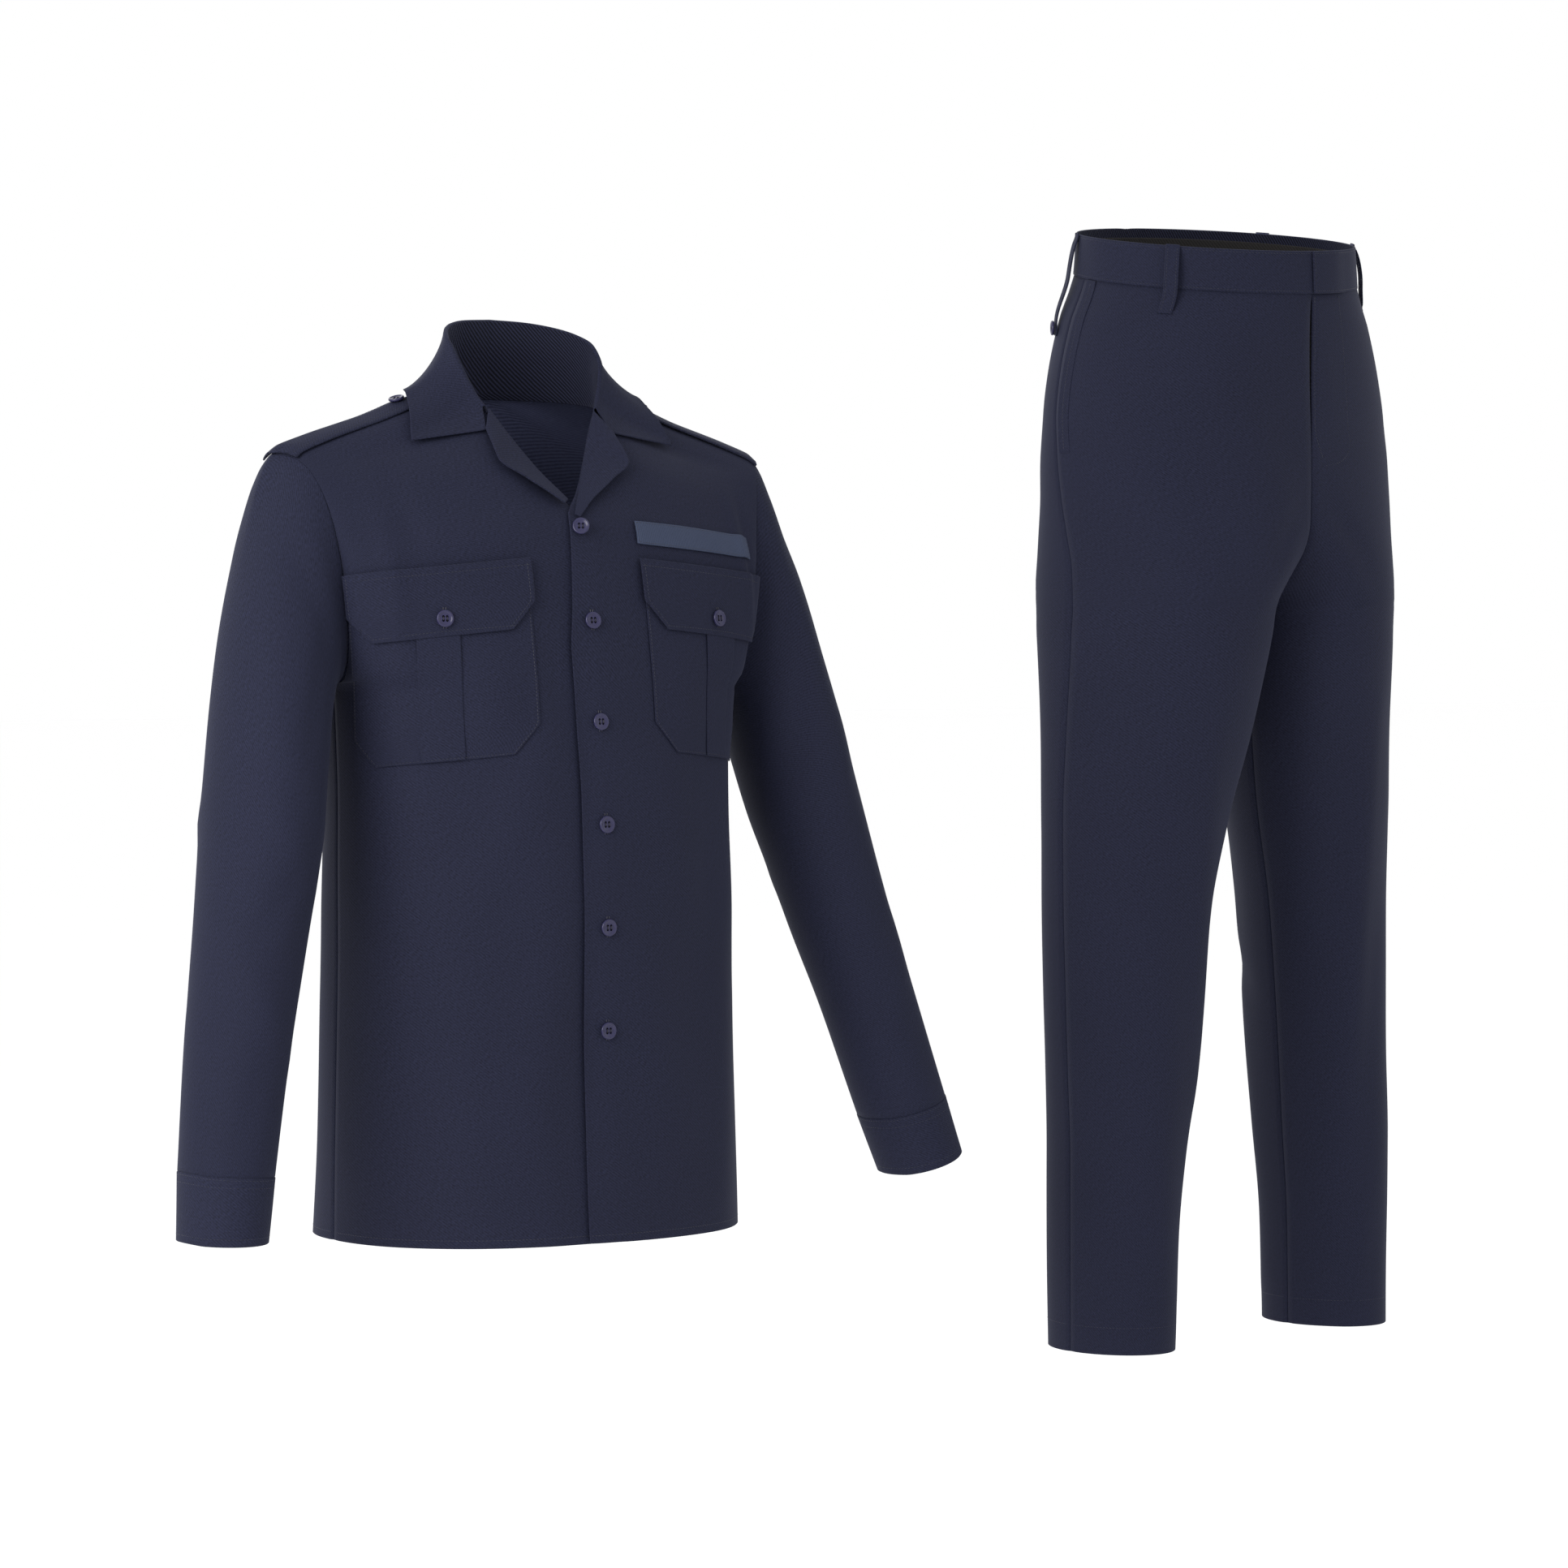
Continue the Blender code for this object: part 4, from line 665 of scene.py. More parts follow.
# Soft folds, each along a line seen from the front or the back, in the garment's own frame.
# Columns: view, the line's start x and z, its end x and z, width, and height out of the cloth.
SHIRT_FOLDS = (
    ("front", -0.120, -0.335, -0.085, -0.560, 0.034, -0.0030),
    ("front", -0.060, -0.320, -0.128, -0.450, 0.022, 0.0022),
    ("front", -0.020, -0.420, -0.090, -0.640, 0.026, 0.0018),
    ("front", -0.165, -0.300, -0.172, -0.600, 0.018, 0.0026),
    ("front", -0.140, -0.560, -0.120, -0.720, 0.026, 0.0020),
    ("front", -0.050, -0.600, -0.030, -0.725, 0.020, -0.0014),
    ("front", -0.050, -0.165, -0.030, -0.300, 0.012, -0.0014),
    ("front", -0.017, -0.135, -0.015, -0.420, 0.009, -0.0018),
    ("front", -0.019, -0.360, -0.016, -0.725, 0.011, -0.0020),
    ("front", -0.178, -0.110, -0.170, -0.250, 0.010, 0.0020),
    ("front", -0.160, -0.080, -0.150, -0.140, 0.010, -0.0012),
    ("front", 0.062, -0.330, 0.108, -0.480, 0.022, 0.0018),
    ("front", 0.130, -0.320, 0.094, -0.560, 0.030, -0.0026),
    ("front", 0.032, -0.440, 0.070, -0.650, 0.024, 0.0014),
    ("front", 0.150, -0.540, 0.130, -0.720, 0.024, 0.0020),
    ("front", 0.180, -0.080, 0.184, -0.215, 0.007, 0.0018),
    ("front", 0.192, -0.095, 0.192, -0.230, 0.007, -0.0016),
    ("back", 0.100, -0.110, 0.060, -0.300, 0.026, 0.0026),
    ("back", -0.105, -0.105, -0.070, -0.320, 0.026, 0.0024),
    ("back", 0.150, -0.240, 0.080, -0.420, 0.022, -0.0026),
    ("back", -0.150, -0.230, -0.090, -0.440, 0.022, -0.0024),
    ("back", 0.030, -0.360, 0.010, -0.640, 0.034, -0.0026),
    ("back", -0.070, -0.420, -0.100, -0.700, 0.028, 0.0024),
    ("back", 0.090, -0.460, 0.120, -0.715, 0.026, 0.0026),
    ("front", -0.262, -0.110, -0.285, -0.300, 0.016, 0.0020),
    ("front", -0.230, -0.200, -0.262, -0.330, 0.012, -0.0018),
    ("front", -0.300, -0.330, -0.262, -0.420, 0.014, 0.0018),
    ("front", -0.262, -0.395, -0.325, -0.470, 0.011, -0.0016),
    ("front", -0.335, -0.460, -0.298, -0.560, 0.013, 0.0018),
    ("front", -0.316, -0.560, -0.352, -0.640, 0.012, -0.0012),
    ("front", 0.232, -0.120, 0.268, -0.250, 0.012, 0.0020),
    ("front", 0.246, -0.210, 0.238, -0.330, 0.012, -0.0022),
    ("front", 0.290, -0.290, 0.262, -0.400, 0.014, 0.0016),
    ("front", 0.268, -0.395, 0.322, -0.480, 0.012, -0.0014),
    ("front", 0.335, -0.470, 0.308, -0.580, 0.013, 0.0015),
    ("back", -0.250, -0.160, -0.290, -0.330, 0.016, -0.0022),
    ("back", -0.320, -0.360, -0.262, -0.420, 0.012, 0.0022),
    ("back", -0.270, -0.440, -0.335, -0.520, 0.012, -0.0018),
    ("back", 0.250, -0.150, 0.288, -0.320, 0.016, -0.0022),
    ("back", 0.318, -0.370, 0.262, -0.430, 0.012, 0.0020),
    ("back", 0.275, -0.450, 0.335, -0.530, 0.012, -0.0016),
)
TROUSER_FOLDS = (
    ("front", -0.120, 0.080, -0.030, -0.120, 0.026, 0.0022),
    ("front", -0.150, -0.020, -0.070, -0.240, 0.030, -0.0024),
    ("front", -0.016, -0.110, -0.075, -0.190, 0.012, 0.0024),
    ("front", -0.010, -0.085, -0.060, -0.140, 0.008, -0.0018),
    ("front", -0.112, -0.300, -0.095, -0.820, 0.016, 0.0034),
    ("front", -0.150, -0.420, -0.120, -0.600, 0.022, -0.0020),
    ("front", -0.070, -0.480, -0.100, -0.640, 0.018, 0.0016),
    ("front", -0.160, -0.640, -0.140, -0.860, 0.018, 0.0016),
    ("front", 0.016, -0.110, 0.075, -0.190, 0.012, 0.0024),
    ("front", 0.022, -0.085, 0.070, -0.140, 0.008, -0.0018),
    ("front", 0.022, 0.060, 0.030, -0.020, 0.006, 0.0010),
    ("front", 0.110, -0.280, 0.108, -0.820, 0.015, 0.0034),
    ("front", 0.060, -0.240, 0.085, -0.480, 0.020, -0.0022),
    ("front", 0.155, -0.400, 0.130, -0.640, 0.020, -0.0018),
    ("front", 0.080, -0.700, 0.100, -0.870, 0.016, -0.0018),
    ("front", 0.135, -0.760, 0.120, -0.880, 0.010, 0.0016),
    ("back", 0.100, 0.060, 0.040, -0.120, 0.028, 0.0024),
    ("back", -0.100, 0.060, -0.040, -0.120, 0.028, 0.0024),
    ("back", 0.120, -0.120, 0.050, -0.240, 0.018, -0.0032),
    ("back", -0.120, -0.130, -0.050, -0.250, 0.018, -0.0030),
    ("back", 0.070, -0.200, 0.130, -0.330, 0.018, 0.0026),
    ("back", -0.070, -0.210, -0.130, -0.340, 0.018, 0.0026),
    ("back", 0.100, -0.300, 0.104, -0.840, 0.016, 0.0032),
    ("back", -0.100, -0.300, -0.098, -0.840, 0.016, 0.0032),
    ("back", 0.140, -0.480, 0.080, -0.560, 0.014, -0.0022),
    ("back", -0.140, -0.470, -0.080, -0.570, 0.014, -0.0022),
)
# A faint unevenness. Columns: turns per metre across, deep and up, phase, and height.
WAVES = (
    (31.0, 17.0, 9.0, 0.4, 0.00045),
    (-14.0, 23.0, 21.0, 1.7, 0.00035),
    (52.0, -31.0, 27.0, 2.9, 0.00018),
)


def folded(points, normals, folds):
    """The cloth with its soft folds, and a faint unevenness all over it."""
    offset = np.zeros(points.shape[:-1])
    for view, x0, z0, x1, z1, width, height in folds:
        run = np.array([x1 - x0, z1 - z0])
        from_start = points[..., [0, 2]] - np.array([x0, z0])
        along = np.clip(from_start @ run / (run @ run), 0.0, 1.0)
        away = np.linalg.norm(from_start - along[..., None] * run, axis=-1)
        forwards = -normals[..., 1] if view == "front" else normals[..., 1]
        tapered = FOLD_END_STRENGTH + (1 - FOLD_END_STRENGTH) * np.sin(math.pi * along)
        strength = ease(forwards * FOLD_FACING) * tapered
        offset += FOLD_STRENGTH * height * np.exp(-((away / width) ** 2)) * strength
    for across, deep, up, phase, height in WAVES:
        offset += height * np.sin(points @ np.array([across, deep, up]) + phase)
    return points + normals * offset[..., None]


def grooved(points, normals, edges):
    """The same points with some edges sunk a little, as the cloth turns in at a seam."""
    sunk = points.copy()
    for edge in edges:
        at = {"left": np.s_[:, 0], "right": np.s_[:, -1], "low": np.s_[0], "high": np.s_[-1]}[edge]
        sunk[at] = points[at] - unit(normals[at]) * SEAM_DEPTH
    return sunk


def with_edges(count, length):
    """Even steps from 0 to 1, with one more close to each end of the length."""
    margin = EDGE_MARGIN / length
    return np.concatenate([[0.0, margin], np.linspace(0.0, 1.0, count + 1)[1:-1], [1 - margin, 1.0]])


def joined_steps(*parts):
    """Steps over several stretches, each (start, end, count), one after another."""
    values = [np.linspace(start, end, count + 1)[1:] for start, end, count in parts]
    return np.concatenate([[parts[0][0]]] + values)


def lengths_along(points, axis):
    """Mean distance walked along a grid's rows or columns."""
    steps = np.linalg.norm(np.diff(points, axis=axis), axis=-1).mean(axis=1 - axis)
    return np.concatenate([[0.0], np.cumsum(steps)])


class Cloth:
    """One or more grids of outer points that become a thin closed shell."""

    def __init__(self):
        self.number_at, self.outer, self.inner, self.quads, self.places = {}, [], [], [], []
        self.turned_in = []
        self.width, self.length, self.area = 0.0, 0.0, 0.0

    def add(self, outer, inner, closed=False, columns_in=0):
        rows, columns = outer.shape[:2]
        numbers = np.empty((rows, columns), int)
        for at in np.ndindex(rows, columns):
            key = tuple(np.round(outer[at] * 1e6).astype(int))
            if key not in self.number_at:
                self.number_at[key] = len(self.outer)
                self.outer.append(outer[at])
                self.inner.append(inner[at])
            numbers[at] = self.number_at[key]
        around = outer
        if closed:
            numbers = np.concatenate([numbers, numbers[:, :1]], axis=1)
            around = np.concatenate([outer, outer[:, :1]], axis=1)
        across, up = lengths_along(around, 1), lengths_along(around, 0)
        self.width += across[-1]
        self.length = max(self.length, up[-1])
        for row in range(rows - 1):
            for column in range(numbers.shape[1] - 1):
                corners = ((row, column), (row, column + 1), (row + 1, column + 1), (row + 1, column))
                quad = [int(numbers[corner]) for corner in corners]
                self.quads.append(quad)
                self.turned_in.append(column < columns_in)
                self.places.append([(across[c], up[r]) for r, c in corners])
                a, b, c, d = (np.asarray(self.outer[number]) for number in quad)
                self.area += np.linalg.norm(np.cross(c - a, d - b)) / 2

    def rim(self):
        """The open edges, and for each of their points the middle of a rounded rim."""
        edges = {(quad[k], quad[(k + 1) % 4]) for quad in self.quads for k in range(4)}
        open_edges = [edge for edge in edges if edge[::-1] not in edges]
        open_edges.sort()
        on_rim = {number for edge in open_edges for number in edge}
        middles = {number: [] for number in on_rim}
        for quad in self.quads:
            centre = np.mean([self.outer[number] for number in quad], axis=0)
            for number in on_rim.intersection(quad):
                middles[number].append(centre)
        points = {}
        for number in sorted(on_rim):
            outer, inner = self.outer[number], self.inner[number]
            away = outer - np.mean(middles[number], axis=0)
            through = outer - inner
            away = unit(away - through * (away @ through) / max(through @ through, 1e-12))
            points[number] = (outer + inner) / 2 + away * np.linalg.norm(through) * EDGE_ROUNDING
        return open_edges, points

    def build(self, name, materials):
        count = len(self.outer)
        open_edges, rim_points = self.rim()
        rim_number = {number: 2 * count + i for i, number in enumerate(rim_points)}
        vertices = list(self.outer) + list(self.inner) + list(rim_points.values())
        faces = list(self.quads) + [[count + number for number in reversed(quad)] for quad in self.quads]
        for first, second in open_edges:
            faces.append([second, first, rim_number[first], rim_number[second]])
            faces.append([rim_number[second], rim_number[first], count + first, count + second])
        mesh = bpy.data.meshes.new(name)
        mesh.from_pydata([tuple(point) for point in vertices], [], faces)
        places = mesh.uv_layers.new(name="cloth")
        at_point = {}
        for quad, corners in zip(self.quads, self.places):
            for number, place in zip(quad, corners):
                at_point.setdefault(number, place)
        at_rim = {rim_number[number]: at_point[number] for number in rim_number}
        for polygon in mesh.polygons:
            loops = list(polygon.loop_indices)
            if polygon.index < len(self.quads):
                values = self.places[polygon.index]
                if self.turned_in[polygon.index]:
                    polygon.material_index = len(materials) - 1
            elif polygon.index < 2 * len(self.quads):
                values = self.places[polygon.index - len(self.quads)][::-1]
                polygon.material_index = len(materials) - 1
            else:
                values = []
                for loop in loops:
                    vertex = mesh.loops[loop].vertex_index
                    values.append(at_rim[vertex] if vertex in at_rim else at_point[vertex % count])
            for loop, value in zip(loops, values):
                places.data[loop].uv = value
        mesh.shade_smooth()
        for material in materials:
            mesh.materials.append(material)
        return link(name, mesh)


def link(name, mesh):
    obj = bpy.data.objects.new(name, mesh)
    bpy.context.scene.collection.objects.link(obj)
    return obj


# The waist sits a little askew: higher behind and on the wearer's left.
WAIST_RISE = 0.0025
WAIST_RISE_BACK = 0.036
WAIST_RISE_LEFT = 0.050


def turned(directions, garment):
    """Directions of a garment's own frame in the world: the trousers are turned a little."""
    if garment == "shirt":
        return directions
    cos, sin = math.cos(TROUSERS_TURN), math.sin(TROUSERS_TURN)
    turn = np.array([[cos, -sin, 0.0], [sin, cos, 0.0], [0.0, 0.0, 1.0]])
    return directions @ turn.T


def in_world(points, garment):
    """Points of a garment's own frame in the world: the trousers stand to the side, with the waist askew."""
    if garment == "shirt":
        return points
    share = ease((points[..., 2] - CROTCH_HEIGHT) / (BAND_SEAM - CROTCH_HEIGHT))
    rise = (WAIST_RISE + WAIST_RISE_LEFT * points[..., 0] + WAIST_RISE_BACK * points[..., 1]) * share
    raised = points + rise[..., None] * UP
    return turned(raised, garment) + np.array([TROUSERS_X, 0.0, 0.0])


def add_sheet(name, garment, grids, materials, node=None, closed=False, held="hung", slot="navy_twill",
              columns_in=0):
    """A thin shell from (outer, inner) grids, in place of a CAD node if one is named.

    The last material is on its inner side, and on the first columns_in columns of its outer side.
    """
    cloth = Cloth()
    for outer, inner in grids:
        cloth.add(in_world(outer, garment), in_world(inner, garment), closed, columns_in)
    piece = cloth.build(name, materials)
    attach(piece, "root")
    if node:
        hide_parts(node)


def add_cloth(node, garment, grids, materials, **ways):
    """The sheet that takes a CAD node's place."""
    add_sheet(node + "_cloth", garment, grids, materials, node, **ways)


# Stitches

STITCH_PITCH = 0.0032
STITCH_LENGTH = 0.0022
STITCH_HALF_WIDTH = 0.00042
STITCH_HEIGHT = 0.00018
STITCH_TAPER = 0.16

# How far stitches lie from the edges that they follow, and what they leave unsewn at an edge's ends
SHIRT_HEM_INSET = 0.0065
TROUSER_HEM_INSET = 0.0250
STRIP_INSET = 0.0013
STRAP_INSET = 0.0050
MOUTH_INSET = 0.0060
EDGE_INSET = 0.0018
STITCH_SKIP = 0.002
LOOP_SKIP = 0.001
CUFF_STITCHES = (("low", 0.0016), ("low", 0.0080), ("high", 0.0055))
POCKET_STITCHES = {
    "pocket_": (("left", 0.0016), ("right", 0.0016), ("low", 0.0016)),
    "pocket_pleat_": (("low", 0.0016),),
    "flap_": (("left", 0.0040), ("right", 0.0040), ("low", 0.0040), ("high", 0.0060)),
}
STITCH_RUNS = {"shirt": [], "trousers": []}


def edge_line(points, normals, edge, inset, skip):
    """A line on a grid at an inset from one of its edges, short of the edge's ends by skip."""
    if edge in ("low", "high"):
        points, normals = points.swapaxes(0, 1), normals.swapaxes(0, 1)
    if edge in ("right", "high"):
        points, normals = points[:, ::-1], normals[:, ::-1]
    arcs = [walked(row) for row in points]
    line = np.array([between(inset, arc, row) for arc, row in zip(arcs, points)])
    directions = np.array([between(inset, arc, row) for arc, row in zip(arcs, normals)])
    arc = walked(line)
    kept = np.linspace(skip, arc[-1] - skip, max(2, len(line)))
    return between(kept, arc, line), unit(between(kept, arc, directions))


def sew(garment, line, directions):
    """Keeps a line to be sewn, in the world."""
    STITCH_RUNS[garment].append((in_world(line, garment), turned(directions, garment)))


def sew_edges(garment, points, normals, edges, inset, skip=0.0):
    """Sews beside some edges of a grid: left, right, low or high."""
    for edge in edges:
        sew(garment, *edge_line(points, normals, edge, inset, skip))


def add_stitches(name, runs, material):
    """Every stitch as a small ridged bar that lies on the cloth."""
    vertices, faces = [], []
    for line, directions in runs:
        arc = walked(line)
        for start in np.arange(STITCH_PITCH / 2, arc[-1] - STITCH_LENGTH, STITCH_PITCH):
            ends = [between(at, arc, line) for at in (start, start + STITCH_LENGTH)]
            out = unit(between(start, arc, directions))
            ahead = unit(ends[1] - ends[0])
            side = unit(np.cross(out, ahead)) * STITCH_HALF_WIDTH
            first = len(vertices)
            for end in ends:
                vertices.extend([end - side - out * STITCH_HEIGHT, end + side - out * STITCH_HEIGHT])
            inwards = ahead * STITCH_LENGTH * STITCH_TAPER
            vertices.append(ends[0] + inwards + out * STITCH_HEIGHT)
            vertices.append(ends[1] - inwards + out * STITCH_HEIGHT)
            a, b, c, d, e, f = range(first, first + 6)
            faces.extend([[a, c, f, e], [d, b, e, f], [b, a, e], [c, d, f], [a, b, d, c]])
    mesh = bpy.data.meshes.new(name)
    mesh.from_pydata([tuple(vertex) for vertex in vertices], [], faces)
    mesh.materials.append(material)
    piece = link(name, mesh)
    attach(piece, "root")


# Materials

def shader_of(material):
    return material.node_tree.nodes["Principled BSDF"]


def plain_material(name, colour, roughness):
    material = bpy.data.materials.new(name)
    material.use_nodes = True
    shader = shader_of(material)
    shader.inputs["Base Color"].default_value = (*colour, 1.0)
    shader.inputs["Roughness"].default_value = roughness
    return material


CLOTH_ROUGHNESS = 0.82
ROUGHNESS_RANGE = (0.74, 0.90)
FADE_RANGE = (0.90, 1.10)
NOISE_RANGE = (0.30, 0.70)
THREAD_SCALE = 1.7
PATCH_SCALE = 7.0


def twill(name, colour, pitch, depth, contrast, angle, sheen, ribbed):
    """Woven cloth: fine slanting ribs, uneven threads, and a little fading in broad soft patches.

    ribbed is the ribs' share of the relief. The rest is uneven thread, drawn out along the ribs.
    """
    material = plain_material(name, colour, CLOTH_ROUGHNESS)
    tree, shader = material.node_tree, shader_of(material)
    shader.inputs["Sheen Weight"].default_value = sheen
    shader.inputs["Sheen Roughness"].default_value = 0.45
    shader.inputs["Sheen Tint"].default_value = (0.50, 0.54, 0.80, 1.0)
    shader.inputs["Specular IOR Level"].default_value = 0.12

    def node(kind, **values):
        made = tree.nodes.new(kind)
        for key, value in values.items():
            if hasattr(made, key):
                setattr(made, key, value)
            else:
                made.inputs[key].default_value = value
        return made

    def joined(first, out, second, into):
        tree.links.new(first.outputs[out], second.inputs[into])

    place = node("ShaderNodeUVMap", uv_map="cloth")
    slanted = node("ShaderNodeMapping", Rotation=(0.0, 0.0, math.radians(angle)))
    joined(place, "UV", slanted, "Vector")
    ribs = node("ShaderNodeTexWave", Scale=math.pi / 10 / pitch, Distortion=0.6, Detail=1.0)
    ribs.inputs["Detail Scale"].default_value = 1.5
    joined(slanted, "Vector", ribs, "Vector")
    drawn = node("ShaderNodeMapping", Scale=(1.0, 0.45, 1.0))
    joined(slanted, "Vector", drawn, "Vector")
    threads = node("ShaderNodeTexNoise", Scale=THREAD_SCALE / pitch, Detail=2.0, Roughness=0.6)
    joined(drawn, "Vector", threads, "Vector")
    patches = node("ShaderNodeTexNoise", Scale=PATCH_SCALE, Detail=3.0, Roughness=0.5)
    joined(place, "UV", patches, "Vector")

    both = node("ShaderNodeMath", operation="MULTIPLY_ADD")
    both.inputs[1].default_value = ribbed
    joined(ribs, "Fac", both, 0)
    half = node("ShaderNodeMath", operation="MULTIPLY")
    half.inputs[1].default_value = 1 - ribbed
    joined(threads, "Fac", half, 0)
    joined(half, "Value", both, 2)
    low, high = NOISE_RANGE
    clear = node("ShaderNodeMapRange")
    clear.inputs["From Min"].default_value = low * (1 - ribbed)
    clear.inputs["From Max"].default_value = high + low * ribbed
    joined(both, "Value", clear, "Value")
    bump = node("ShaderNodeBump", Strength=1.0, Distance=depth)
    joined(both, "Value", bump, "Height")
    tree.links.new(bump.outputs["Normal"], shader.inputs["Normal"])

    def spread(source, out, least, most):
        made = node("ShaderNodeMapRange")
        made.inputs["To Min"].default_value = least
        made.inputs["To Max"].default_value = most
        joined(source, out, made, "Value")
        return made

    shade = spread(clear, "Result", 1 - contrast, 1 + contrast)
    fade = spread(patches, "Fac", *FADE_RANGE)
    amount = node("ShaderNodeMath", operation="MULTIPLY")
    joined(shade, "Result", amount, 0)
    joined(fade, "Result", amount, 1)
    scaled = node("ShaderNodeVectorMath", operation="SCALE")
    scaled.inputs[0].default_value = colour
    joined(amount, "Value", scaled, "Scale")
    tree.links.new(scaled.outputs["Vector"], shader.inputs["Base Color"])
    uneven = spread(threads, "Fac", *ROUGHNESS_RANGE)
    tree.links.new(uneven.outputs["Result"], shader.inputs["Roughness"])
    return material


# The shirt

BODY_STEPS = 60
ARMHOLE_STEPS = 36
PANEL_STEPS = 48
SLEEVE_STEPS = 84
SLEEVE_ANGLES = np.linspace(0.0, 2 * math.pi, 2 * ARMHOLE_STEPS + 1)[:-1]
CUFF_STEPS = 8
LAPEL_STEPS = 24
LAPEL_COLUMNS = 8
STRIP_STEPS = 4
STRIP_COLUMNS = 30
STRAP_STEPS = 26
STRAP_COLUMNS = 17

# Rough lengths, which only place the narrow first and last steps beside the edges
BODY_HEIGHT = 0.48
PANEL_WIDTH = 0.30
SLEEVE_LENGTH = 0.62
CUFF_LENGTH = 0.053
LAPEL_LENGTH = 0.12
LAPEL_WIDTH = 0.04
STRAP_LENGTH = 0.15
LEG_PANEL_WIDTH = 0.25
BAND_LENGTH = 0.43

NAVY = (0.0108, 0.0122, 0.0268)
# The inner side's navy is the outer navy painted about five times lighter: painted light for the hollow
# insides, which get little light
INSIDE_NAVY_PAINTED_LIGHT = (0.055, 0.061, 0.116)
# The navy of the collar stand and the waistband's inner side is the outer navy painted a fifth darker, as
# painted shade
STAND_NAVY_PAINTED_SHADE = (0.0085, 0.0095, 0.0205)
LINING = (0.016, 0.015, 0.015)
TAPE = (0.036, 0.046, 0.080)
THREAD = (0.0072, 0.0082, 0.0180)
HOLE_THREAD = (0.006, 0.006, 0.013)
PLASTIC = (0.018, 0.017, 0.052)

SHIRT_SEAMS = {
    "shirt_front_left": ("right", "high"),
    "shirt_front_right": ("left", "high"),
    "shirt_back_left": ("left", "high"),
    "shirt_back_right": ("right", "high"),
    "sleeve_left": ("low", "high"),
    "sleeve_right": ("low", "high"),
}
TROUSER_SEAMS = {
    "trouser_front_left": ("left", "right", "high"),
    "trouser_back_left": ("left", "right", "high"),
    "trouser_front_right": ("left", "right", "high"),
    "trouser_back_right": ("left", "right", "high"),
}


def shirt_panels(materials):
    """Fronts, back and sleeves, on shared seam points."""
    margin = EDGE_MARGIN / BODY_HEIGHT
    low = joined_steps((0.0, margin, 1), (margin, 1.0, BODY_STEPS))
    high = 1.0 + np.linspace(0.0, 1.0, ARMHOLE_STEPS + 1)[1:]
    levels = np.concatenate([low, high])[:, None]
    columns = with_edges(PANEL_STEPS, PANEL_WIDTH)[None, :]
    left = body(levels, columns, True, overlap(levels, "left"))
    right = body(levels, columns, True, overlap(levels, "right"))
    back = body(levels, columns, False)[:, ::-1]
    steps = with_edges(SLEEVE_STEPS, SLEEVE_LENGTH)
    sleeve = np.stack([sleeve_ring(share, SLEEVE_ANGLES) for share in steps])
    pieces = {
        "shirt_front_left": (left, False),
        "shirt_front_right": (mirrored(right), False),
        "shirt_back_left": (back, False),
        "shirt_back_right": (mirrored(back), False),
        "sleeve_left": (hung(sleeve, "left"), True),
        "sleeve_right": (mirrored(hung(sleeve, "right")), True),
    }
    normals = shared_normals(pieces)
    walls = {}
    for name, (points, closed) in pieces.items():
        points = folded(points, unit(normals[name]), SHIRT_FOLDS)
        outer, inner = points, points - normals[name] * LOOK_CLOTH
        if name == "shirt_front_right":
            inset = normals[name] * under_inset(points * FLIP, levels)
            outer, inner = outer - inset, inner - inset
        outer, inner = (grooved(grid, normals[name], SHIRT_SEAMS[name]) for grid in (outer, inner))
        kept = {"shirt_back_left": -1, "shirt_back_right": 0}.get(name)
        walls[name] = tuple(pulled_back(grid, SEAM_GAP / 2, closed, kept) for grid in (outer, inner))
        if kept is None:
            add_cloth(name, "shirt", [walls[name]], materials, closed=closed)
    add_cloth("shirt_back", "shirt", [walls["shirt_back_left"], walls["shirt_back_right"]], materials)
    for name in walls:
        if not name.startswith("sleeve"):
            sew_edges("shirt", walls[name][0], normals[name], ("low",), SHIRT_HEM_INSET)
    return walls, normals


def cuffs(materials):
    seam, end = np.array(SLEEVE[-1]), np.array(CUFF_END)
    rows = []
    for share in with_edges(CUFF_STEPS, CUFF_LENGTH):
        section = seam + (end - seam) * share
        rows.append(ring_points(section[0:3], section[3:6], section[6], SLEEVE_ANGLES, 1.0))
    points = np.stack(rows)
    for side in ("left", "right"):
        grid = hung(points, side)
        grid = grid if side == "left" else mirrored(grid)
        normals = normals_of(grid, True)
        grid = folded(grid, normals, ()) + normals * CUFF_RAISE
        outer = pulled_back(grid, SEAM_GAP / 2, True)
        inner = pulled_back(grid - normals * CLOTH, SEAM_GAP / 2, True)
        add_cloth("cuff_" + side, "shirt", [(outer, inner)], materials, closed=True)
        around = np.concatenate([outer, outer[:, :1]], axis=1)
        outwards = np.concatenate([normals, normals[:, :1]], axis=1)
        for edge, inset in CUFF_STITCHES:
            sew_edges("shirt", around, outwards, (edge,), inset)


COLLAR_SEAM_ALLOWANCE = 0.005
COLLAR_SEAM_INSET = 0.0012
STAND_COLUMNS = 4


def collar(cloth, stand):
    along = joined_steps((0.0, 0.9, 30), (0.9, 1.0, 8))
    half = []
    for value in along:
        profile = collar_profile(value)
        inwards = profile[1] * np.array([1.0, 1.0, 0.0])
        below = profile[0] - unit(inwards) * COLLAR_SEAM_INSET - UP * COLLAR_SEAM_ALLOWANCE
        half.append(np.concatenate([[below], profile]))
    half = np.stack(half)
    points = np.concatenate([half[1:][::-1] * FLIP, half])[::-1]
    walls = (points, points - normals_of(points) * LOOK_CLOTH)
    # The stand's columns take the stand material, painted darker as painted shade inside the neck
    add_cloth("collar", "shirt", [walls], [cloth, stand], columns_in=STAND_COLUMNS)


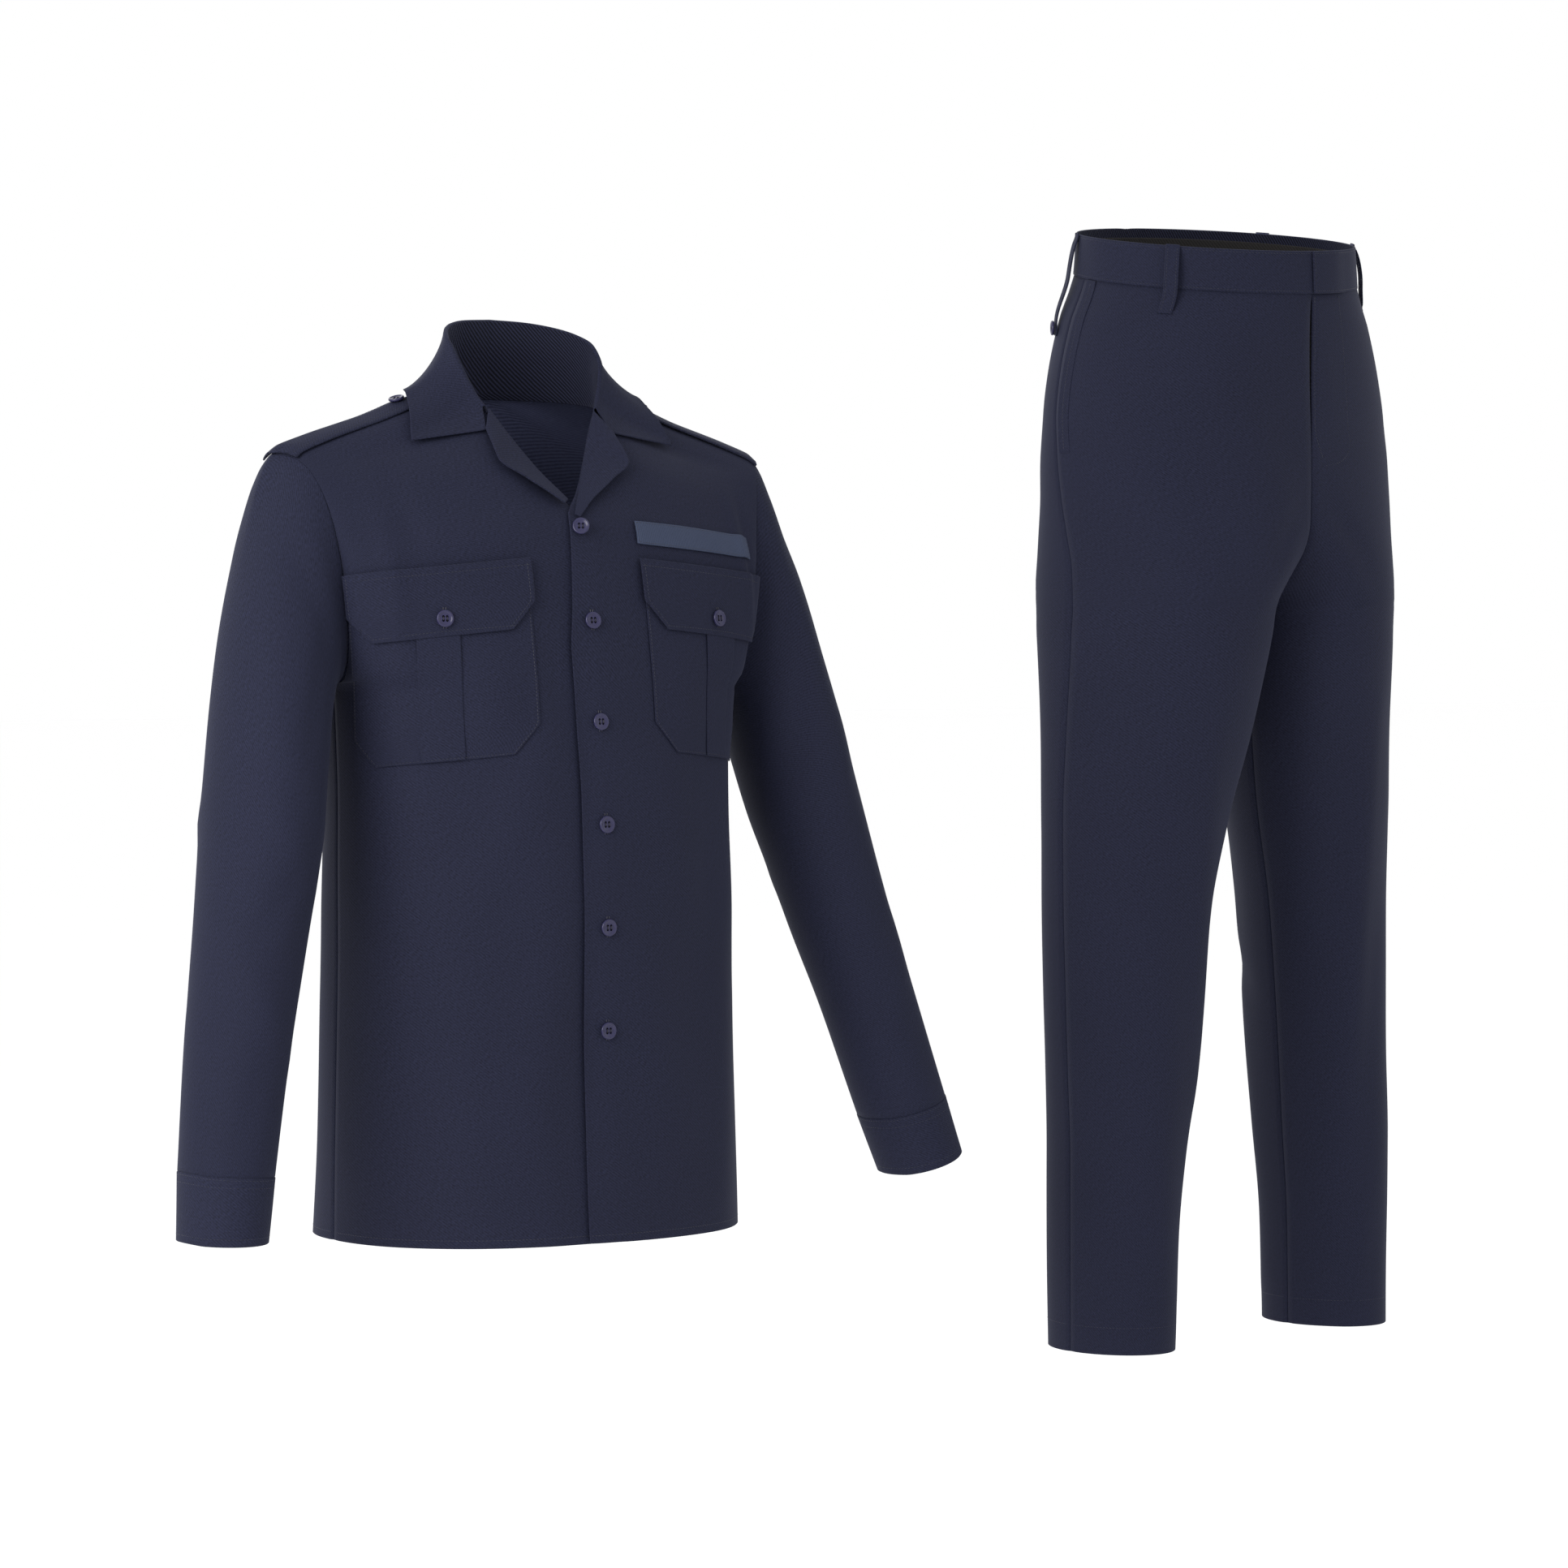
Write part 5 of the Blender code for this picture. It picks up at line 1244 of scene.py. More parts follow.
def lapels(materials):
    for side, first in (("left", 0.0), ("right", UNDER_LAPEL_START)):
        along = with_edges(LAPEL_STEPS, LAPEL_LENGTH)[:, None] * (1 - first) + first
        points = lapel_grid(along, with_edges(LAPEL_COLUMNS, LAPEL_WIDTH)[None, :])
        grid = points if side == "left" else mirrored(points + np.array([0.0, UNDER_LAPEL_SET_BACK, 0.0]))
        normals = normals_of(grid)
        outer = grid + normals * (LAYER_GAP + LAPEL_THICKNESS)
        add_cloth("lapel_" + side, "shirt", [(outer, grid + normals * LAYER_GAP)], materials)


class Chest:
    """The front's outer surface, looked up from a fine grid by distance round the body and by height."""

    def __init__(self):
        self.distances = np.linspace(0.0, 0.250, 64)
        self.heights = np.linspace(-0.600, -0.090, 128)
        height, distance = np.meshgrid(self.heights, self.distances, indexing="ij")
        self.points, self.normals = front_point(distance, height)

    def at(self, distance, height, side):
        """Folded points and normals, with columns that face out on either side."""
        distance, height = np.broadcast_arrays(distance, height)
        across = np.interp(distance, self.distances, np.arange(len(self.distances)))
        up = np.interp(height, self.heights, np.arange(len(self.heights)))
        i = np.clip(up.astype(int), 0, len(self.heights) - 2)
        j = np.clip(across.astype(int), 0, len(self.distances) - 2)
        s, t = (up - i)[..., None], (across - j)[..., None]
        found = []
        for grid in (self.points, self.normals):
            low = grid[i, j] * (1 - t) + grid[i, j + 1] * t
            high = grid[i + 1, j] * (1 - t) + grid[i + 1, j + 1] * t
            found.append(low * (1 - s) + high * s)
        points, normals = found[0], unit(found[1])
        if side == "right":
            points, normals = mirrored(points), mirrored(normals)
        return folded(points, normals, SHIRT_FOLDS), normals

    def sloped(self, distance, height, side):
        return self.at(distance, height + CHEST_SLOPE * (distance - CHEST_REFERENCE), side)


POCKET_CLOTH = 0.0010
POCKET_SLACK = 0.0030
SLACK_START = 0.30
SLACK_GROWTH = 0.35
SLACK_END = 0.22
PLEAT_RISE = 0.0006
FLAP_CORNER_RISE = 0.0014
FLAP_MIDDLE_RISE = 0.0008
FLAP_CLEARANCE = 0.0034
POCKET_STEP = 0.006

# Columns: name, start, width, flare, top, bottom, cut of the lower corners, and clearance from the front
POCKET_PARTS = (
    ("pocket_", POCKET_START, POCKET_WIDTH, POCKET_FLARE, POCKET_TOP, POCKET_BOTTOM, POCKET_CUT, 0.0006),
    ("pocket_pleat_", PLEAT_START, PLEAT_WIDTH, 0.0, POCKET_TOP, POCKET_BOTTOM, PLEAT_CUT, 0.0019),
    ("flap_", FLAP_START, FLAP_WIDTH, 0.0, FLAP_TOP, FLAP_BOTTOM, FLAP_CUT, FLAP_CLEARANCE),
)


def pocket_parts(chest, materials):
    for side in ("left", "right"):
        for prefix, start, width, flare, top, bottom, cut, lift in POCKET_PARTS:
            height_of = top - bottom
            steps = with_edges(round(height_of / POCKET_STEP), height_of)
            down = np.unique(np.concatenate([steps, [cut / height_of]]))
            share = with_edges(round(width / POCKET_STEP), width)
            distance, height = cut_panel(start, width, flare, top, bottom, cut, down, share)
            points, normals = chest.sloped(distance, height, side)
            share = (distance - start) / width
            if side == "right":
                share, height = share[:, ::-1], height[:, ::-1]
            rise = lift + POCKET_CLOTH + bulge(prefix, share, (top - height) / height_of)
            outer = points + normals * rise[..., None]
            inner = outer - normals * POCKET_CLOTH
            add_cloth(prefix + side, "shirt", [(outer, inner)], materials)
            for edge, inset in POCKET_STITCHES[prefix]:
                skip = 0.0 if edge in ("low", "high") else STITCH_SKIP
                sew_edges("shirt", outer, normals, (edge,), inset, skip)
    return FLAP_CLEARANCE + POCKET_CLOTH


def bulge(prefix, share, down):
    """A pocket part stands a little off the body: flat at its seams, slack between them."""
    share, down = np.clip(share, 0.0, 1.0), np.clip(down, 0.0, 1.0)
    if prefix == "pocket_":
        beside_pleat = np.sin(2 * math.pi * share) ** 2
        growing, ending = ease((down - SLACK_START) / SLACK_GROWTH), ease((1.0 - down) / SLACK_END)
        return POCKET_SLACK * beside_pleat * growing * ending
    if prefix == "pocket_pleat_":
        return PLEAT_RISE * np.sin(math.pi * down) ** 0.6
    middle = np.sin(math.pi * share) ** 0.8
    corner = np.abs(2 * share - 1) ** 3
    return FLAP_CORNER_RISE * down ** 2 * corner + FLAP_MIDDLE_RISE * middle * np.sin(math.pi * down)


def name_strip(chest, material):
    distance = np.linspace(STRIP_START, STRIP_START + STRIP_WIDTH, STRIP_COLUMNS)[None, :]
    height = (STRIP_TOP - STRIP_HEIGHT + STRIP_HEIGHT * with_edges(STRIP_STEPS, STRIP_HEIGHT))[:, None]
    points, normals = chest.sloped(distance, height, "left")
    outer = points + normals * (STRIP_LIFT + STRIP_THICKNESS)
    inner = points + normals * STRIP_LIFT
    add_cloth("name_strip", "shirt", [(outer, inner)], [material], held="laid", slot="name_strip")
    sew_edges("shirt", outer, normals, ("left", "right", "low", "high"), STRIP_INSET)


def straps(materials):
    rows = []
    steps = np.linspace(-1.0, 1.0, STRAP_COLUMNS)
    for share in with_edges(STRAP_STEPS, STRAP_LENGTH):
        across = STRAP_START + (STRAP_END - STRAP_START) * share
        half = STRAP_HALF_WIDTH_IN + (STRAP_HALF_WIDTH_OUT - STRAP_HALF_WIDTH_IN) * share
        rows.append([shoulder_walk(across, half * step) for step in steps])
    points = np.array(rows)[:, ::-1]
    for side in ("left", "right"):
        grid = points if side == "left" else mirrored(points)
        normals = normals_of(grid)
        outer = grid + normals * (LAYER_GAP * 2 + CLOTH)
        add_cloth("shoulder_strap_" + side, "shirt", [(outer, outer - normals * CLOTH)], materials)
        sew_edges("shirt", outer, normals, ("left", "right"), STRAP_INSET, STITCH_SKIP)
    return points


# Buttons

HOLE_RADIUS = 0.00120
HOLE_OFFSET = 0.00235
HOLE_OVERRUN = 0.001
BUTTON_SIDES = 40
HOLE_SIDES = 14
DISH_LEVEL = 0.68
THREAD_RADIUS = 0.00042
THREAD_SINK = 0.0006
THREAD_ARCH = 0.0011
BUTTONHOLE_HALF_WIDTH = 0.0011
BUTTONHOLE_HALF_LENGTH = 0.0100
BUTTONHOLE_LIFT = 0.0001
FLAP_BUTTON_LIFT = 0.0010
STRAP_BUTTON_LIFT = 0.0003

# A button from its back, round its rim, to its dish. Columns: shares of the radius and of the thickness
BUTTON_PROFILE = (
    (0.800, 0.00),
    (0.930, 0.10),
    (0.990, 0.36),
    (1.000, 0.55),
    (0.975, 0.80),
    (0.920, 0.95),
    (0.850, 1.00),
    (0.780, 0.96),
    (0.700, 0.80),
    (0.620, 0.71),
    (0.450, DISH_LEVEL),
)


def lathe(name, profile, sides):
    """A closed turned solid from (radius, height) pairs, from its back round to its front."""
    shape = bmesh.new()
    rings = []
    for radius, height in profile:
        turns = [2 * math.pi * i / sides for i in range(sides)]
        rings.append([shape.verts.new((radius * math.cos(t), radius * math.sin(t), height)) for t in turns])
    for low, high in zip(rings, rings[1:]):
        for i in range(sides):
            j = (i + 1) % sides
            shape.faces.new([low[i], low[j], high[j], high[i]])
    shape.faces.new(rings[0][::-1])
    shape.faces.new(rings[-1])
    mesh = bpy.data.meshes.new(name)
    shape.to_mesh(mesh)
    shape.free()
    return mesh


def four_hole_button(name, radius, material):
    """A shirt button: rounded rim, dished middle and four holes through it."""
    thick = BUTTON_THICKNESS
    profile = [(radius * across, thick * up) for across, up in BUTTON_PROFILE]
    button = link(name, lathe(name, profile, BUTTON_SIDES))
    bore = [(HOLE_RADIUS, -HOLE_OVERRUN), (HOLE_RADIUS, thick + HOLE_OVERRUN)]
    holes = []
    for i in range(4):
        turn = math.pi / 4 + i * math.pi / 2
        hole = link("hole", lathe("hole", bore, HOLE_SIDES))
        hole.location = (HOLE_OFFSET * math.cos(turn), HOLE_OFFSET * math.sin(turn), 0.0)
        cut = button.modifiers.new("hole", "BOOLEAN")
        cut.object = hole
        cut.solver = "EXACT"
        holes.append(hole)
    bpy.context.view_layer.update()
    evaluated = button.evaluated_get(bpy.context.evaluated_depsgraph_get())
    mesh = bpy.data.meshes.new_from_object(evaluated)
    for obj in holes + [button]:
        bpy.data.objects.remove(obj, do_unlink=True)
    mesh.name = name
    mesh.shade_smooth()
    mesh.set_sharp_from_angle(angle=math.radians(45))
    mesh.materials.clear()
    mesh.materials.append(material)
    return mesh


def button_thread(name, material):
    """Two short bars of thread, each over a pair of holes."""
    shape = bmesh.new()
    level = BUTTON_THICKNESS * DISH_LEVEL
    reach = HOLE_OFFSET * math.cos(math.pi / 4)
    for across in (-reach, reach):
        rings = []
        for i in range(9):
            turn = math.pi * i / 8
            height = level - THREAD_SINK + THREAD_ARCH * math.sin(turn)
            centre = Vector((across, -reach * math.cos(turn), height))
            ring = []
            for k in range(6):
                spin = 2 * math.pi * k / 6
                away = Vector((math.cos(spin), 0.0, math.sin(spin)))
                ring.append(shape.verts.new(centre + away * THREAD_RADIUS))
            rings.append(ring)
        for low, high in zip(rings, rings[1:]):
            for k in range(6):
                shape.faces.new([low[k], low[(k + 1) % 6], high[(k + 1) % 6], high[k]])
        shape.faces.new(rings[0])
        shape.faces.new(rings[-1][::-1])
    bmesh.ops.recalc_face_normals(shape, faces=shape.faces)
    mesh = bpy.data.meshes.new(name)
    shape.to_mesh(mesh)
    shape.free()
    mesh.shade_smooth()
    mesh.materials.append(material)
    return mesh


def buttonhole(point, normal, garment):
    """The sewn edge of an upright buttonhole, as two close rows of stitches."""
    upwards = unit(UP - normal * normal[2])
    side = unit(np.cross(upwards, normal))
    for offset in (-BUTTONHOLE_HALF_WIDTH, BUTTONHOLE_HALF_WIDTH):
        row = [point + side * offset + upwards * BUTTONHOLE_HALF_LENGTH * step for step in (-1.0, 0.0, 1.0)]
        sew(garment, np.array(row), np.array([normal] * 3))


def place_button(node, meshes, point, normal, garment):
    """A button and its thread, whose back lies on a point of the cloth and whose top is up."""
    point = in_world(np.asarray(point), garment)
    z = Vector(unit(turned(np.asarray(normal), garment)))
    x = Vector((0.0, 0.0, 1.0)).cross(z).normalized() * -1.0
    y = z.cross(x)
    turn = Matrix((x, y, z)).transposed().to_4x4()
    for suffix, mesh in zip(("_face", "_thread"), meshes):
        piece = link(node + suffix, mesh)
        piece.matrix_world = Matrix.Translation(Vector(point)) @ turn
        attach(piece, "root")
        if suffix == "_face":
            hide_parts(node)


def shirt_buttons(chest, flap_top, strap, large, small):
    for number, (height, lift) in enumerate(BUTTONS, 1):
        point, normal = chest.at(np.array([[0.0]]), np.array([[height]]), "left")
        point, normal = point[0, 0], normal[0, 0]
        place_button(f"front_button_{number}", large, point + normal * max(lift, 0.0), normal, "shirt")
        if number > 1:
            buttonhole(point + normal * BUTTONHOLE_LIFT, normal, "shirt")
    for side in ("left", "right"):
        at = np.array([[FLAP_BUTTON_AT[0]]]), np.array([[FLAP_BUTTON_AT[1]]])
        point, normal = chest.sloped(*at, side)
        point, normal = point[0, 0], normal[0, 0]
        on_flap = point + normal * (flap_top + FLAP_BUTTON_LIFT)
        place_button("flap_button_" + side, large, on_flap, normal, "shirt")
        buttonhole(on_flap, normal, "shirt")
    middle, directions = strap[:, strap.shape[1] // 2], normals_of(strap)[:, strap.shape[1] // 2]
    point = between(STRAP_BUTTON_X, middle[:, 0], middle)
    normal = unit(between(STRAP_BUTTON_X, middle[:, 0], directions))
    point = point + normal * (2 * LAYER_GAP + CLOTH + STRAP_BUTTON_LIFT)
    place_button("strap_button_left", small, point, normal, "shirt")
    place_button("strap_button_right", small, point * FLIP, normal * FLIP, "shirt")


# The trousers

SEAT_STEPS = 35
LEG_STEPS = 84
LEG_PANEL_STEPS = 30
FLY_SLIT_FADE = 6
WAIST_STEPS = 60


def legs(materials):
    steps = joined_steps((BAND_SEAM, CROTCH_HEIGHT, SEAT_STEPS), (CROTCH_HEIGHT, TROUSER_HEM, LEG_STEPS))
    levels = np.concatenate([steps[:-1], [TROUSER_HEM + EDGE_MARGIN, TROUSER_HEM]])[::-1][:, None]
    share = with_edges(LEG_PANEL_STEPS, LEG_PANEL_WIDTH)[None, :]
    start, seam = first_angle(levels), seam_angle(levels)
    front = leg_section(levels, start + (seam - start) * share)
    back = leg_section(levels, seam + (math.pi - start - seam) * share)
    pieces = {
        "trouser_front_left": (front, False),
        "trouser_back_left": (back, False),
        "trouser_front_right": (mirrored(front), False),
        "trouser_back_right": (mirrored(back), False),
    }
    normals = shared_normals(pieces)
    for name, (points, closed) in pieces.items():
        points = folded(points, unit(normals[name]), TROUSER_FOLDS)
        outer = pulled_back(points, SEAM_GAP / 2)
        inner = pulled_back(points - normals[name] * LOOK_CLOTH, SEAM_GAP / 2)
        outer, inner = (grooved(grid, normals[name], TROUSER_SEAMS[name]) for grid in (outer, inner))
        if name == "trouser_front_right":
            slit = fly_slit(levels) * np.clip(1 - FLY_SLIT_FADE * share[:, ::-1], 0.0, 1.0)
            outer[..., 0] -= slit
            inner[..., 0] -= slit
        add_cloth(name, "trousers", [(outer, inner)], materials)
        sew_edges("trousers", outer, normals[name], ("low",), TROUSER_HEM_INSET)
    fly_stitches()
    pocket_mouths(materials)


FLY_STITCH_AT = 0.036
FLY_STITCH_TOP = BAND_SEAM - 0.002
FLY_CURVE_TOP = -0.012
FLY_CURVE_HEIGHT = 0.030
FLY_EDGE_INSET = 0.0025


def fly_stitches():
    """The J of stitches that holds the fly, on the wearer's left front."""
    straight = np.linspace(FLY_STITCH_TOP, FLY_CURVE_TOP, 24)
    height = np.concatenate([straight, np.linspace(FLY_CURVE_TOP, FLY_CURVE_TOP - FLY_CURVE_HEIGHT, 12)[1:]])
    curved = np.clip((FLY_CURVE_TOP - height) / FLY_CURVE_HEIGHT, 0.0, 1.0)
    across = FLY_STITCH_AT * np.sqrt(np.clip(1 - curved ** 2, 0.0, 1.0)) + 0.002
    angle = np.arcsin(np.clip(across / WAIST_RADIUS, 0.0, 1.0))
    points, normals = trouser_surface(height, angle)
    sew("trousers", points, normals)
    edge = np.linspace(FLY_STITCH_TOP, FLY_BOTTOM, 24)
    points, normals = trouser_surface(edge, FLY_EDGE_INSET / WAIST_RADIUS)
    sew("trousers", points, normals)


def trouser_surface(height, angle, side="left"):
    """Folded points and normals of a leg at heights and angles."""
    nudge = 1e-4
    here = leg_section(height, angle)
    by_angle = leg_section(height, angle + nudge) - here
    by_height = leg_section(height + nudge, angle) - here
    normals = unit(np.cross(by_angle, by_height))
    if side == "right":
        here, normals = here * FLIP, normals * FLIP
    return folded(here, normals, TROUSER_FOLDS), normals


MOUTH_STEPS = 42
MOUTH_COLUMNS = 6
MOUTH_DROP = 0.0012
MOUTH_LENGTH = 0.165
MOUTH_WIDTH = 0.016
MOUTH_THICKNESS = 0.0007
MOUTH_AHEAD = 2.5
MOUTH_LEAN = 2.0
MOUTH_CURVE = 1.15
MOUTH_LOW_LIFT = 0.0003
MOUTH_EDGE_LIFT = 0.0011
HIP_RADIUS = 0.15
BAR_TACK_ROWS = (2, -3)
BAR_TACK_PITCH = 0.0006


def pocket_mouths(materials):
    """Slanted side pockets: a folded edge that stands over the side, a row of stitches and two bar tacks."""
    for side in ("left", "right"):
        down = np.linspace(0.0, 1.0, MOUTH_STEPS)[:, None]
        share = with_edges(MOUTH_COLUMNS, MOUTH_WIDTH)[None, :]
        height = BAND_SEAM - MOUTH_DROP - MOUTH_LENGTH * down
        seam = np.degrees(seam_angle(height))
        angle = seam - MOUTH_AHEAD - MOUTH_LEAN * (1 - down) ** MOUTH_CURVE
        angle = np.radians(angle - (1 - share) * math.degrees(MOUTH_WIDTH / HIP_RADIUS))
        points, normals = trouser_surface(height, angle)
        lift = (MOUTH_LOW_LIFT + MOUTH_EDGE_LIFT * share ** 1.5)[..., None]
        outer, inner = points + normals * lift, points + normals * (lift - MOUTH_THICKNESS)
        outer, inner, normals = outer[::-1], inner[::-1], normals[::-1]
        if side == "right":
            outer, inner = mirrored(outer), mirrored(inner)
            normals = mirrored(normals)
        add_sheet("pocket_mouth_" + side, "trousers", [(outer, inner)], materials)
        free_edge = "right" if side == "left" else "left"
        sew_edges("trousers", outer, normals, (free_edge,), MOUTH_INSET, STITCH_SKIP)
        for row in BAR_TACK_ROWS:
            end = outer[row, -1 if side == "left" else 0]
            other = outer[row, -3 if side == "left" else 2]
            for offset in (-BAR_TACK_PITCH, 0.0, BAR_TACK_PITCH):
                line = np.linspace(end, other, 4) + UP * offset
                sew("trousers", line, np.array([normals[row, 0]] * 4))


BAND_STEPS = 6
CURTAIN_STEPS = 4
CURTAIN_LOWER = 0.0020
UNDERLAP_STEPS = 20
UNDERLAP_COLUMNS = 9
UNDERLAP_INSET = 0.002
LOOP_STEPS = 33
LOOP_COLUMNS = 9


def waistbands(materials):
    """Two halves: the left end laps over the right one in front, so the right half starts past the centre."""
    lap = math.degrees(BAND_LAP / WAIST_RADIUS)
    height = BAND_SEAM + (BAND_TOP - BAND_SEAM) * with_edges(BAND_STEPS, BAND_TOP - BAND_SEAM)[:, None]
    for side, first in (("left", 0.0), ("right", -lap)):
        angle = np.radians(first + (180.0 - first) * with_edges(WAIST_STEPS, BAND_LENGTH))[None, :]
        grid = leg_section(height, angle)
        normals = normals_of(grid)
        lift = np.zeros(grid.shape[:2] + (1,))
        if side == "left":
            lapping = (1 - ease((grid[..., 0] - BAND_LAP) / BAND_LAP)) * (grid[..., 1] < 0)
            lift = (BAND_LIFT * lapping)[..., None]
        walls = [pulled_back(grid + normals * (lift - depth), SEAM_GAP / 2) for depth in (0.0, CLOTH)]
        if side == "right":
            walls, normals = [mirrored(wall) for wall in walls], mirrored(normals)
        add_cloth("waistband_" + side, "trousers", [tuple(walls)], materials)
        edges = ("low", "high", "left") if side == "left" else ("low", "high")
        sew_edges("trousers", walls[0], normals, edges, EDGE_INSET)


def waist_curtain(lining):
    top, bottom = BAND_TOP - CURTAIN_TOP_INSET - CURTAIN_LOWER, BAND_SEAM + CURTAIN_GAP
    height = bottom + (top - bottom) * with_edges(CURTAIN_STEPS, top - bottom)[:, None]
    angle = np.radians(np.linspace(0.0, 180.0, WAIST_STEPS + 1))[None, 1:]
    half = leg_section(height, angle)
    normals = normals_of(half)
    sides = []
    for depth in (CLOTH + CURTAIN_GAP, CLOTH + CURTAIN_GAP + CURTAIN_THICKNESS):
        wall = half - normals * depth
        sides.append(np.concatenate([wall, mirrored(wall)[:, 1:]], axis=1))
    add_cloth("waist_curtain", "trousers", [tuple(sides)], [lining], slot="dark_lining")


def fly_underlap(lining):
    height = np.linspace(FLY_BOTTOM, FLY_TOP - UNDERLAP_INSET, UNDERLAP_STEPS)[:, None]
    across = np.linspace(-FLY_UNDERLAP / 2, FLY_UNDERLAP / 2, UNDERLAP_COLUMNS)
    angle = np.arcsin(across / WAIST_RADIUS)[None, :]
    fly = leg_section(height, angle)
    normals = normals_of(fly)
    outer, inner = fly - normals * (CLOTH + FLY_GAP), fly - normals * (2 * CLOTH + FLY_GAP)
    add_cloth("fly_underlap", "trousers", [(outer, inner)], [lining], slot="dark_lining")


def loops(materials, small):
    places = (("front_loop", FRONT_LOOP_ANGLE, LOOP_FOOT), ("side_loop", SIDE_LOOP_ANGLE, SIDE_LOOP_FOOT))
    for name, angle, foot in places:
        for side, gap in (("left", LEFT_LOOP_GAP), ("right", RIGHT_LOOP_GAP)):
            grid, out = loop_grid(angle, LOOP_TOP, foot, LOOP_STAND_OFF, gap, LOOP_STEPS, LOOP_COLUMNS)
            points = grid if side == "left" else mirrored(grid)
            normals = normals_of(points)
            outer = points + normals * LOOP_THICKNESS
            add_cloth(name + "_" + side, "trousers", [(outer, points)], materials)
            sew_edges("trousers", outer, normals, ("left", "right"), EDGE_INSET, LOOP_SKIP)
            if name == "side_loop":
                flip = np.ones(3) if side == "left" else FLIP
                place = (grid[0, grid.shape[1] // 2] + out[0] * (LOOP_THICKNESS + LAYER_GAP)) * flip
                place[2] += SMALL_BUTTON_RADIUS
                place_button("loop_button_" + side, small, place, out[0] * flip, "trousers")


# Camera, light and floor

VIEW_AZIMUTH = -33.0
VIEW_ELEVATION = 1.88
VIEW_DISTANCE = 4.89
VIEW_TARGET = (0.3429, 0.1096, -0.3493)
LENS = 120.0
SENSOR_WIDTH = 36.0
FLOOR_BELOW = 0.30
FLOOR_HALF_SIZE = 40.0
WHITE = (1.0, 1.0, 1.0)

# Columns: name, place, size, power in watts and colour
LIGHTS = (
    ("key", (-2.2, -0.8, 0.5), (1.6, 1.6), 60.0, (1.0, 0.99, 0.98)),
    ("fill", (3.4, -3.4, 0.8), (2.4, 2.4), 12.0, (0.97, 0.98, 1.0)),
    ("back", (0.6, 3.6, 2.2), (3.0, 2.0), 25.0, WHITE),
)


def add_camera():
    data = bpy.data.cameras.new("camera")
    data.lens = LENS
    data.sensor_width = SENSOR_WIDTH
    camera = bpy.data.objects.new("camera", data)
    bpy.context.scene.collection.objects.link(camera)
    azimuth, elevation = math.radians(VIEW_AZIMUTH), math.radians(VIEW_ELEVATION)
    away = Vector((
        math.sin(azimuth) * math.cos(elevation),
        -math.cos(azimuth) * math.cos(elevation),
        math.sin(elevation),
    ))
    camera.location = Vector(VIEW_TARGET) + away * VIEW_DISTANCE
    camera.rotation_euler = (-away).to_track_quat("-Z", "Y").to_euler()
    bpy.context.scene.camera = camera


def add_area_light(name, place, size, power, colour):
    data = bpy.data.lights.new(name, "AREA")
    data.shape = "RECTANGLE"
    data.size, data.size_y = size
    data.energy = power
    data.color = colour
    light = bpy.data.objects.new(name, data)
    bpy.context.scene.collection.objects.link(light)
    light.location = place
    to_target = Vector(VIEW_TARGET) - Vector(place)
    light.rotation_euler = to_target.to_track_quat("-Z", "Y").to_euler()


def add_studio():
    scene = bpy.context.scene
    scene.view_settings.view_transform = "Standard"
    scene.view_settings.look = "None"
    world = bpy.data.worlds.new("studio")
    world.use_nodes = True
    background = world.node_tree.nodes["Background"]
    background.inputs["Color"].default_value = (*WHITE, 1.0)
    background.inputs["Strength"].default_value = 1.0
    scene.world = world
    for light in LIGHTS:
        add_area_light(*light)
    mesh = bpy.data.meshes.new("floor")
    size, level = FLOOR_HALF_SIZE, TROUSER_HEM - FLOOR_BELOW
    corners = [(-size, -size, level), (size, -size, level), (size, size, level), (-size, size, level)]
    mesh.from_pydata(corners, [], [(0, 1, 2, 3)])
    floor = link("floor", mesh)
    mesh.materials.append(plain_material("floor", WHITE, 0.9))


